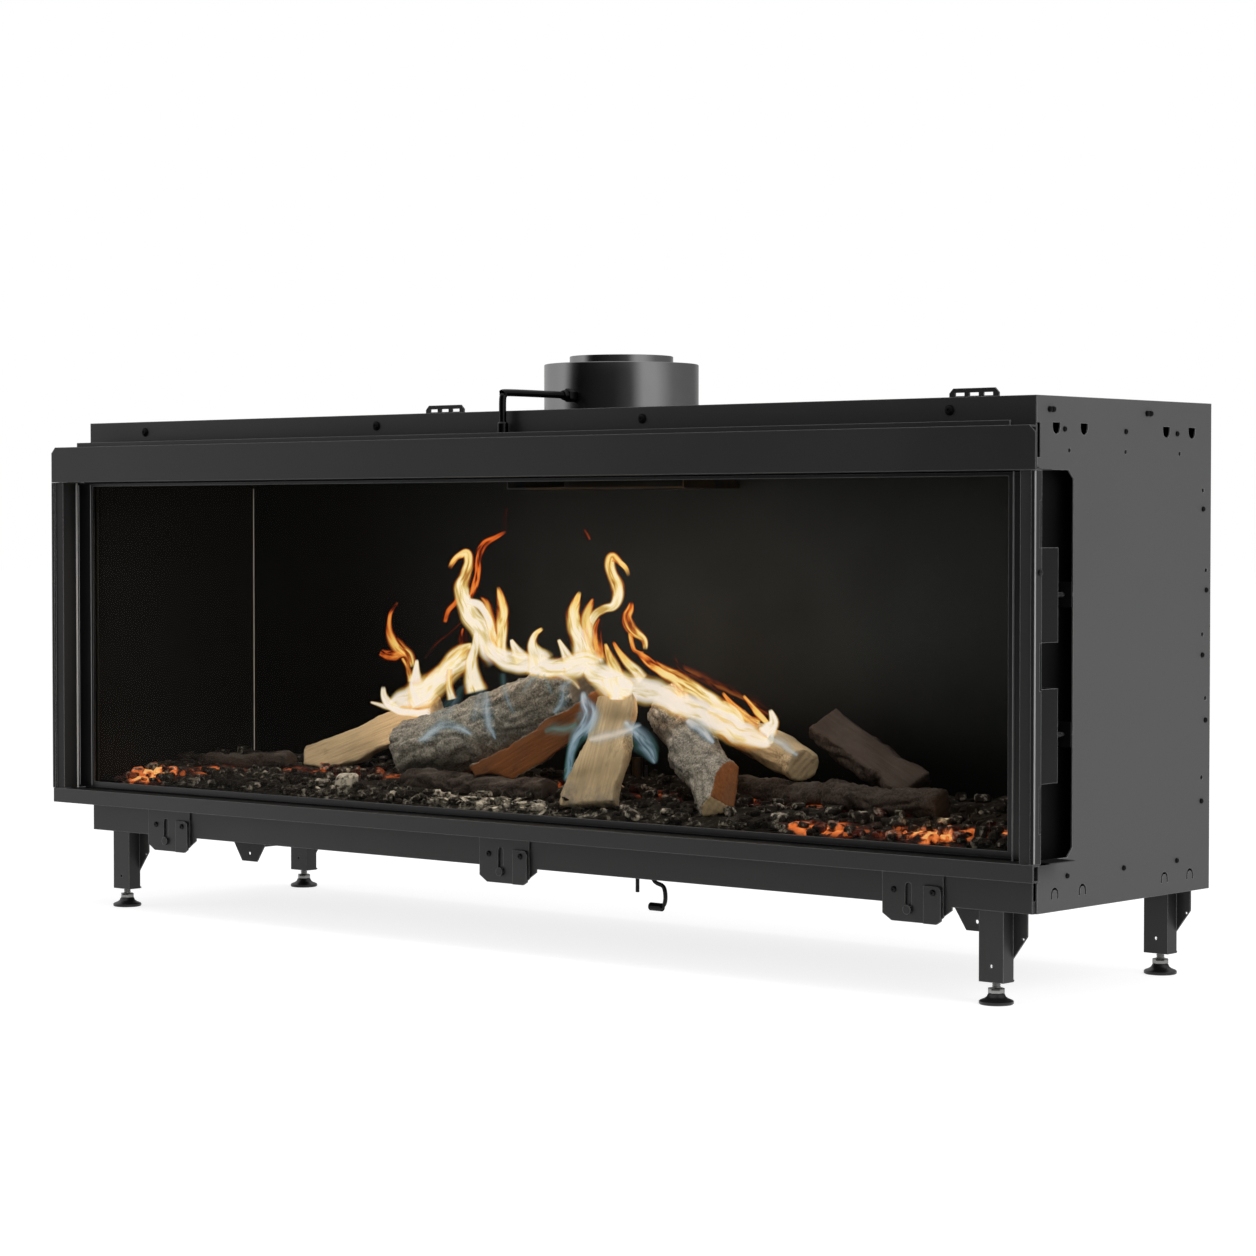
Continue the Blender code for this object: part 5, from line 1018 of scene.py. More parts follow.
class FIREPLACE_OT_firebox(Operator):
    """Finish the firebox sheets, the restrictor and the burner"""

    bl_idname = "fireplace.firebox"
    bl_label = "Firebox"

    def execute(self, context):
        c = colours()
        finish_nodes(stove_paint("firebox_stove_paint", c.stove_paint),
                     "firebox_wall_left", "firebox_wall_right", "firebox_floor", "firebox_roof")
        # The back sheet's colour carries painted light and shade: lighter toward the right, darker at the
        # left.
        finish_nodes(stove_paint("firebox_back_stove_paint_painted_light", c.stove_paint, c.back_painted_light), "firebox_back")
        finish_nodes(heated_steel("tempered_burner_steel", srgb("4A4846")),
                     "flue_restrictor", "burner_tray", "main_burner", "pilot_burner")
        finish_nodes(plated_metal("black_oxide_pipe_steel", c.black_oxide, 0.35), "pilot_pipe")
        # Painted highlight strips down the firebox's rear corners.
        self.corner_edges(powder_coat("firebox_corner_painted_highlight", srgb("E4E4E4"), 0.5, edge_highlight=0.0))
        return {"FINISHED"}

    def corner_edges(self, steel):
        """A painted highlight: a pale strip down each of the firebox's rear corners, for the light that each
        side wall's rear edge catches.
        """
        back_low = low("firebox_back")
        foot, top, back = back_low.z + 50 * MM, low("firebox_roof").z - 2 * MM, back_low.y - 1.2 * MM
        for side, sign in SIDES.items():
            edge = sign * (abs(back_low.x) - 2.2 * MM)
            add_blocks("firebox_corner_edge_" + side, [((edge - 0.6 * MM, back - 0.5 * MM, foot),
                                                        (edge + 0.6 * MM, back + 0.5 * MM, top))],
                       "casing", steel)


class FIREPLACE_OT_flue(Operator):
    """Turn the flue's two rings and bend the test tube"""

    bl_idname = "fireplace.flue"
    bl_label = "Flue and test tube"

    def execute(self, context):
        c = colours()
        steel = rolled_flue_steel("rolled_enamelled_flue_steel", c.flue_steel)
        self.ring("flue_outer_collar", 2 * MM, 1.2 * MM, steel)
        self.ring("flue_inner_pipe", 1.6 * MM, 0.8 * MM, steel)
        self.test_tube(plated_metal("black_oxide_tube_steel", c.black_oxide, 0.22))
        return {"FINISHED"}

    def ring(self, node, wall, bead, steel):
        """One flue ring with a rounded lip and a rounded inner edge."""
        centre, foot, top = middle(node), low(node).z, high(node).z
        outer = (high(node).x - low(node).x) / 2
        inner = outer - wall
        profile = [(inner, foot), (outer, foot), (outer, top - bead), (outer - bead * 0.3, top - bead * 0.3),
                   (outer - wall / 2, top), (inner + bead * 0.2, top - bead * 0.3), (inner, top - bead)]
        bm = turned(profile, 112, closed=True)
        bmesh.ops.translate(bm, verts=bm.verts[:], vec=(centre.x, centre.y, 0))
        add_piece(node + "_turned", bm, "casing", steel, (node,), 30)

    def test_tube(self, black):
        """The tube from its fitting on the front band up, over and into the air collar."""
        end, foot, x = high("test_tube").y, low("test_tube").z, middle("test_tube").x
        lean = FRONT - 9.8 * MM
        path = [(x, lean, foot + 26 * MM), (x, lean, TUBE_LEVEL - 10 * MM),
                (x, lean + 2.6 * MM, TUBE_LEVEL - 2.8 * MM), (x, lean + 10 * MM, TUBE_LEVEL),
                (x, end - 6 * MM, TUBE_LEVEL), (x, end, TUBE_LEVEL)]
        bm = tube(smooth_path(path, 44), 4.5 * MM)
        merge_into(bm, hex_nut(10.6 * MM, 14 * MM, 0.8 * MM), Matrix.Translation((x, lean, foot + 9 * MM)))
        lower = [(0, -7 * MM), (7 * MM, -7 * MM), (7 * MM, 6 * MM), (5 * MM, 8 * MM), (0, 8 * MM)]
        merge_into(bm, turned(lower, 24), Matrix.Translation((x, lean, foot + 22 * MM)))
        merge_into(bm, hex_nut(8.6 * MM, 13 * MM, 0.7 * MM), facing((x, end - 7 * MM, TUBE_LEVEL), (0, 1, 0)))
        upper = [(0, -5 * MM), (5.6 * MM, -5 * MM), (6.6 * MM, -2 * MM), (6.6 * MM, 2 * MM), (0, 2 * MM)]
        merge_into(bm, turned(upper, 24), facing((x, end - 15 * MM, TUBE_LEVEL), (0, 1, 0)))
        add_piece("test_tube_bent", bm, "casing", black, ("test_tube",))


class FIREPLACE_OT_gas_stub(Operator):
    """Finish the gas stub below the base and its end plug"""

    bl_idname = "fireplace.gas_stub"
    bl_label = "Gas stub"

    def execute(self, context):
        finish_nodes(plated_metal("black_oxide_gas_pipe", colours().black_oxide, 0.38), "gas_supply_pipe")
        return {"FINISHED"}


class FIREPLACE_OT_feet(Operator):
    """Turn the levelling feet: threaded spindle, lock nut and pad"""

    bl_idname = "fireplace.feet"
    bl_label = "Levelling feet"

    def execute(self, context):
        c = colours()
        zinc = plated_metal("bright_zinc_plated_steel", c.zinc, 0.22)
        nylon = moulded_nylon("moulded_black_nylon", srgb("141414"))
        for foot in FEET:
            self.foot(foot, zinc, nylon)
        return {"FINISHED"}

    def foot(self, foot, zinc, nylon):
        """One foot: the nylon pad, and the zinc-plated spindle with its lock nut."""
        node = body = "foot_" + foot
        centre = middle(node)
        stand = Matrix.Translation((centre.x, centre.y, 0))
        pad_radius = (high(node).x - low(node).x) / 2
        pad = turned([(0, 0), (pad_radius - 1.2 * MM, 0), (pad_radius, 1.0 * MM), (pad_radius, 3.6 * MM),
                      (pad_radius - 1.4 * MM, 4.8 * MM), (13.5 * MM, 6.6 * MM), (10.8 * MM, 8.6 * MM),
                      (9.6 * MM, 11.2 * MM), (9.0 * MM, 12 * MM), (0, 12 * MM)], 64)
        bmesh.ops.transform(pad, matrix=stand, verts=pad.verts[:])
        add_piece("foot_pad_" + foot, pad, body, nylon)
        spindle = self.thread(12 * MM, high(node).z)
        merge_into(spindle, hex_nut(9.4 * MM, 6.4 * MM, 0.7 * MM), Matrix.Translation((0, 0, 15.2 * MM)))
        bmesh.ops.transform(spindle, matrix=stand, verts=spindle.verts[:])
        add_piece("foot_spindle_" + foot, spindle, body, zinc, (node,), 50)

    def thread(self, start, end, radius=5 * MM, steps=20):
        """A spindle whose thread is one ridge wound up a core."""
        pitch = sizes().thread_pitch
        core = radius - pitch * 0.5
        bm = turned([(0, start), (core, start), (core, end - 1 * MM), (core - 1 * MM, end), (0, end)], 24)
        turns = int((end - start) / pitch) - 1
        tooth = [bm.verts.new((r, 0, start + z)) for r, z in
                 ((core - 0.1 * MM, 0.05 * pitch), (radius, 0.42 * pitch), (radius, 0.55 * pitch),
                  (core - 0.1 * MM, 0.92 * pitch))]
        edges = [bm.edges.new(pair) for pair in zip(tooth, tooth[1:])]
        bmesh.ops.spin(bm, geom=tooth + edges, cent=(0, 0, 0), axis=(0, 0, 1), angle=math.tau * turns,
                       steps=steps * turns, dvec=(0, 0, pitch / steps), use_merge=False)
        return bm


class FIREPLACE_OT_hangers(Operator):
    """Paint the adjustable hanger plates and add their screws"""

    bl_idname = "fireplace.hangers"
    bl_label = "Hanger plates"

    def execute(self, context):
        c = colours()
        paint = powder_coat("hanger_satin_powder_coat", shade(c.frame_paint, 1.25), 0.42)
        black = plated_metal("black_oxide_hanger_screw", c.black_oxide, 0.42)
        for hanger in HANGERS:
            plate, latch = "hanger_plate_" + hanger, "hanger_latch_" + hanger
            finish_nodes(paint, plate, latch)
            centre, height = low(plate).x + 42 * MM, high(plate).z - 20 * MM
            for name, node, across in (("hanger_screw_", plate, -26 * MM),
                                       ("latch_screw_", latch, 30.5 * MM)):
                add_screws(name + hanger, [(centre + across, low(node).y, height)], (0, -1, 0),
                           "hanger_" + hanger, black, 3.8 * MM, 2.0 * MM)
        return {"FINISHED"}


# Logs


class FIREPLACE_OT_logs(Operator):
    """Carve the ceramic logs: bark furrows, split fibres, saw cuts and scorched patches"""

    bl_idname = "fireplace.logs"
    bl_label = "Ceramic logs"

    def execute(self, context):
        c = colours()
        # The colours of each finish's bark, split wood and saw cuts
        paints = {
            "grey_bark": (c.grey_bark, c.grey_bark, shade(c.grey_bark, 0.5)),
            "dark_bark": (c.dark_bark, shade(c.dark_bark, 1.3), c.dark_bark),
            "pale_wood": (shade(c.pale_wood, 0.8), c.pale_wood, c.pale_wood),
            "brown_wood": (shade(c.grey_bark, 0.6), c.brown_wood, c.brown_wood),
            "split_grey_bark": (c.grey_bark, c.brown_wood, c.pale_wood),
        }
        made = {kind: log_ceramic("painted_ceramic_" + kind, *paint, srgb("0B0908"))
                for kind, paint in paints.items()}
        finishes = {"ash_grey_bark": made["grey_bark"], "dark_burnt_bark": made["dark_bark"],
                    "pale_split_wood": made["pale_wood"], "brown_split_wood": made["brown_wood"],
                    "log_right_bark": made["split_grey_bark"], "log_left_twig": made["dark_bark"]}
        for order, (name, (foot, head, radius, split, slot)) in enumerate(LOGS.items()):
            finish = finishes.get(name, finishes[slot])
            self.log(name, Vector(foot), Vector(head), radius, split, finish, slot, order)
        return {"FINISHED"}

    def fine_mesh(self, node):
        """The CAD node's shape, merged, remeshed finely and softened."""
        bm = bmesh.new()
        bm.from_mesh(NODES[node].data)
        bmesh.ops.remove_doubles(bm, verts=bm.verts[:], dist=0.01 * MM)
        for place, way in LOG_TRIMS.get(node, ()):
            cut = bmesh.ops.bisect_plane(bm, geom=bm.verts[:] + bm.edges[:] + bm.faces[:], plane_co=place,
                                         plane_no=way, clear_outer=True)
            rim = [item for item in cut["geom_cut"] if isinstance(item, bmesh.types.BMEdge)]
            bmesh.ops.triangulate(bm, faces=bmesh.ops.edgeloop_fill(bm, edges=rim)["faces"])
        rough = bpy.data.meshes.new("rough")
        bm.to_mesh(rough)
        bm.free()
        shape = bpy.data.objects.new("rough", rough)
        bpy.context.scene.collection.objects.link(shape)
        remesh = shape.modifiers.new("fine", "REMESH")
        remesh.mode, remesh.voxel_size = "VOXEL", sizes().log_fineness
        soften = shape.modifiers.new("soften", "SMOOTH")
        soften.factor, soften.iterations = 0.5, 5
        graph = bpy.context.evaluated_depsgraph_get()
        fine = bpy.data.meshes.new_from_object(shape.evaluated_get(graph))
        bm = bmesh.new()
        bm.from_mesh(fine)
        bpy.data.objects.remove(shape)
        bpy.data.meshes.remove(rough)
        bpy.data.meshes.remove(fine)
        face_outward(bm)
        return bm

    def log(self, name, foot, head, radius, split, material, slot, order):
        """One log: its CAD shape with bark, fibres and saw cuts in relief, and what the material reads."""
        bm = self.fine_mesh(name)
        bm.normal_update()
        run = head - foot
        back = Vector((0, 0, 1)).rotation_difference(run).to_matrix().transposed()
        centre = (foot + head) / 2
        seed = Vector((order * 1.7, order * 0.9, order * 2.3))
        split_way = None
        if split is not None:
            split_way = Vector((math.cos(math.radians(split)), math.sin(math.radians(split)), 0))
        layers = {"grain": bm.verts.layers.float_vector.new("grain")}
        for key in ("wood", "cut", "burn", "ash"):
            layers[key] = bm.verts.layers.float.new(key)
        moves = []
        for vert in bm.verts:
            spot = back @ (vert.co - centre)
            out = back @ vert.normal
            cut = smooth_share(abs(out.z), 0.72, 0.9) * smooth_share(abs(spot.z) / run.length, 0.40, 0.46)
            wood = smooth_share(out.dot(split_way), 0.62, 0.85) if split_way else 0.0
            if slot == "pale_split_wood":
                wood = max(wood, 0.75 + 0.5 * noise.noise(spot / 0.05 + seed))
            for place, way in LOG_TRIMS.get(name, ()):
                way = Vector(way).normalized()
                near = 1 - smooth_share(abs((vert.co - Vector(place)).dot(way)), 2 * MM, 4 * MM)
                flat = near * smooth_share(vert.normal.dot(way), 0.8, 0.92)
                wood, cut = max(wood, flat), cut * (1 - flat)
            rough = (1 - cut) * (1 - min(wood, 1.0))
            move = sizes().bark_depth * bark_relief(spot, radius, seed) * rough
            move += sizes().fibre_depth * fibre_relief(spot, seed) * (1 - rough)
            moves.append((vert, vert.normal * move))
            broad = noise.noise(vert.co / 0.045 + seed)
            vert[layers["grain"]] = spot + seed * 0.31
            vert[layers["wood"]] = wood
            vert[layers["cut"]] = cut
            # The darker share: scorched patches at random, and more of it on the undersides of the logs.
            vert[layers["burn"]] = 0.25 + 0.45 * broad + 0.25 * max(-vert.normal.z, 0)
            vert[layers["ash"]] = log_ash(name, vert.co, vert.normal.z + broad)
        for vert, move in moves:
            vert.co += move
        add_piece(name + "_carved", bm, "casing", material, (name,), 180)


def smooth_share(value, start, end):
    """0 below start, 1 above end, and smooth between."""
    share = min(max((value - start) / (end - start), 0.0), 1.0)
    return share * share * (3 - 2 * share)


def log_ash(name, place, up):
    """How ashy a log is: the plank at its foot, the others a little on their upper sides."""
    if name == "log_pale_plank":
        return 0.9 * (1 - smooth_share(place.z + 0.1 * place.x, 0.206, 0.236))
    return (0.12 if name.startswith("log_right_") else 0.30) * smooth_share(up, 0.5, 1.2)


def bark_relief(spot, radius, seed):
    """Furrows along the log between crumbling plates, from about -1.2 to 0.9."""
    furrow = abs(noise.noise(Vector((spot.x / 0.015, spot.y / 0.015, spot.z / 0.032)) + seed))
    plates = noise.noise(Vector((spot.x / 0.009, spot.y / 0.009, spot.z / 0.012)) - seed)
    crumbs = noise.noise(spot / 0.0045 + seed)
    return min(furrow * 3.2, 1.0) - 0.75 + plates * 0.45 + crumbs * 0.42


def fibre_relief(spot, seed):
    """Long splinters and steps along split wood, from about -1 to 1."""
    fine = noise.noise(Vector((spot.x / 0.0032, spot.y / 0.0032, spot.z / 0.060)) + seed)
    step = noise.noise(Vector((spot.x / 0.012, spot.y / 0.012, spot.z / 0.110)) - seed)
    return fine * 0.8 + round(step * 4) / 4 * 1.2


# Embers

# Where the bed glows: the middle of each heap, how far it spreads across and in depth, and how hot it is
HOT_HEAPS = (
    ((-0.715, -0.120), (0.055, 0.035), 1.0), ((-0.625, -0.070), (0.045, 0.03), 0.75),
    ((0.635, -0.128), (0.055, 0.026), 1.0), ((0.48, -0.135), (0.070, 0.018), 0.80),
    ((0.715, -0.105), (0.030, 0.020), 0.70))
# The faint glow along the burner: its depth, its spread, how far it runs to each side and how hot it is
BURNER_GLOW = (-0.035, 0.03, 0.55, 0.42)
# Ash in front of the logs: the middle of each heap across, its spread and how thick it lies
ASH_HEAPS = ((-0.04, 0.15, 1.0), (-0.33, 0.05, 0.7))
# The largest pieces on the bed: where each lies, its radius and how ashy it is
HEARTH_CHUNKS = (
    ((-0.336, -0.112), 20 * MM, 0.85), ((-0.392, -0.118), 12 * MM, 0.62), ((-0.470, -0.110), 13 * MM, 0.30),
    ((-0.545, -0.112), 12 * MM, 0.25), ((-0.600, -0.100), 12 * MM, 0.28), ((-0.215, -0.136), 12 * MM, 0.75),
    ((-0.080, -0.138), 10 * MM, 0.60), ((0.035, -0.140), 12 * MM, 0.80), ((0.240, -0.132), 11 * MM, 0.45),
    ((0.405, -0.118), 13 * MM, 0.50), ((0.520, -0.110), 12 * MM, 0.35), ((0.700, -0.126), 13 * MM, 0.35))


def bed_heat(x, y):
    """How hot the bed is at a place: a glowing heap at each end and a faint line over the burner."""
    heat = sum(warmth * math.exp(-((x - place[0]) / width[0]) ** 2 - ((y - place[1]) / width[1]) ** 2)
               for place, width, warmth in HOT_HEAPS)
    depth, width, reach, warmth = BURNER_GLOW
    under = warmth * math.exp(-((y - depth) / width) ** 2) * (abs(x) < reach)
    return min(heat + under, 1.0)


def bed_ash(x, y):
    """How ashy the bed is at a place: charcoal, with ash in front of the logs beside the glass."""
    front = smooth_share(-y, 0.112, 0.140)
    heaps = sum(thick * math.exp(-((x - place) / width) ** 2) for place, width, thick in ASH_HEAPS)
    return 0.20 + 0.42 * front * min(heaps, 1.0) + 0.30 * noise.noise(Vector((x / 0.03, y / 0.03, 0)))


def ember_layers(bm):
    """The layers for the ash tone and the heat that the ember material reads."""
    return bm.verts.layers.float.new("tone"), bm.verts.layers.float.new("warmth")


def bed_top(ground, x, y):
    """The place on the bed under a point, or None beside the bed."""
    return ground.ray_cast(Vector((x, y, 1)), Vector((0, 0, -1)))[0]


def lay_on_bed(bm, layers, part, matrix, tone, heat):
    """Add a moved shape to a heap with its own ash tone and heat, and free the shape."""
    before = len(bm.verts)
    merge_into(bm, part, matrix)
    part.free()
    bm.verts.ensure_lookup_table()
    for vert in bm.verts[before:]:
        vert[layers[0]], vert[layers[1]] = tone, heat


class FIREPLACE_OT_embers(Operator):
    """Heap the ember bed with charcoal lumps and ash flakes"""

    bl_idname = "fireplace.embers"
    bl_label = "Ember bed"

    def execute(self, context):
        c = colours()
        material = ember_material("charcoal_and_ash", c.coal, c.ash, c.glow)
        shape = bmesh.new()
        shape.from_mesh(NODES["ember_bed"].data)
        bmesh.ops.remove_doubles(shape, verts=shape.verts[:], dist=0.01 * MM)
        ground = BVHTree.FromBMesh(shape)
        self.surface(shape, material)
        self.lumps(ground, material)
        self.flakes(ground, material)
        return {"FINISHED"}

    def surface(self, bm, material):
        """The bed itself, broken into small heaps."""
        top = [edge for edge in bm.edges if max(face.normal.z for face in edge.link_faces) > 0.3]
        bmesh.ops.subdivide_edges(bm, edges=top, cuts=3, use_grid_fill=True)
        bmesh.ops.triangulate(bm, faces=[face for face in bm.faces if len(face.verts) > 3])
        bm.normal_update()
        for vert in bm.verts:
            if vert.normal.z > 0.5:
                heap = noise.noise(vert.co / 0.007) + 0.5 * noise.noise(vert.co / 0.003)
                vert.co.z += 2.2 * MM * heap
        tones, heats = ember_layers(bm)
        for vert in bm.verts:
            vert[tones] = bed_ash(vert.co.x, vert.co.y) - 0.1
            vert[heats] = bed_heat(vert.co.x, vert.co.y)
        face_outward(bm)
        add_piece("ember_bed_heaped", bm, "casing", material, ("ember_bed",), 180)

    def scatter(self, ground, count, rng, name, material, make, lift, only_ash=False):
        """Small shapes strewn over the bed as one mesh, each with its own tone and heat."""
        bed_low, bed_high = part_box("ember_bed")
        bm = bmesh.new()
        layers = ember_layers(bm)
        for _ in range(count):
            x = rng.uniform(bed_low.x + 8 * MM, bed_high.x - 8 * MM)
            y = bed_low.y + 4 * MM + (bed_high.y - bed_low.y - 12 * MM) * rng.random() ** 1.7
            hit = bed_top(ground, x, y)
            if hit is None or (only_ash and bed_ash(x, y) < rng.uniform(0.35, 0.6)):
                continue
            part, size = make(rng)
            turn = Matrix.Rotation(rng.uniform(0, math.tau), 4, "Z")
            lean = Matrix.Rotation(rng.uniform(-0.6, 0.6), 4, "X")
            stand = Matrix.Translation(hit + Vector((0, 0, size * lift))) @ (turn @ lean)
            tone = bed_ash(x, y) + rng.uniform(-0.20, 0.22)
            lay_on_bed(bm, layers, part, stand, tone, bed_heat(x, y) * rng.uniform(0.20, 1.1))
        add_piece(name, bm, "casing", material, (), 28)

    def lumps(self, ground, material):
        """Charcoal lumps over the whole bed, and the largest pieces at their own places."""
        rng = random.Random(LUMP_SEED)

        def lump(rng, radius=None):
            radius = radius or sizes().lump_radius * rng.uniform(0.35, 1.30)
            bm = bmesh.new()
            bmesh.ops.create_cube(bm, size=radius * 1.5)
            squash = Vector((rng.uniform(0.8, 1.4), rng.uniform(0.6, 1.1), rng.uniform(0.5, 0.9)))
            for vert in bm.verts:
                vert.co = Vector(a * b * rng.uniform(0.6, 1.2) for a, b in zip(vert.co, squash))
            bmesh.ops.bevel(bm, geom=bm.edges[:], offset=radius * 0.22, segments=1, profile=0.5,
                            affect="EDGES", material=-1)
            bmesh.ops.triangulate(bm, faces=bm.faces[:])
            return bm, radius

        self.scatter(ground, sizes().lump_count, rng, "ember_lumps", material, lump, 0.30)
        bm = bmesh.new()
        layers = ember_layers(bm)
        for (x, y), radius, tone in HEARTH_CHUNKS:
            stand = Matrix.Translation(bed_top(ground, x, y) + Vector((0, 0, radius * 0.35)))
            lay_on_bed(bm, layers, lump(rng, radius)[0], stand, tone, 0.0)
        add_piece("hearth_chunks", bm, "casing", material, (), 28)

    def flakes(self, ground, material):
        """Thin curled ash flakes where the bed is ashy."""
        rng = random.Random(FLAKE_SEED)

        def flake(rng):
            radius = sizes().lump_radius * rng.uniform(0.3, 0.9)
            bm = bmesh.new()
            bmesh.ops.create_icosphere(bm, subdivisions=1, radius=radius)
            for vert in bm.verts:
                vert.co *= 1 + rng.uniform(-0.3, 0.3)
                vert.co.z = vert.co.z * 0.22 + radius * 0.4 * (vert.co.x / radius) ** 2
            return bm, radius

        self.scatter(ground, sizes().flake_count, rng, "ash_flakes", material, flake, 1.1, only_ash=True)


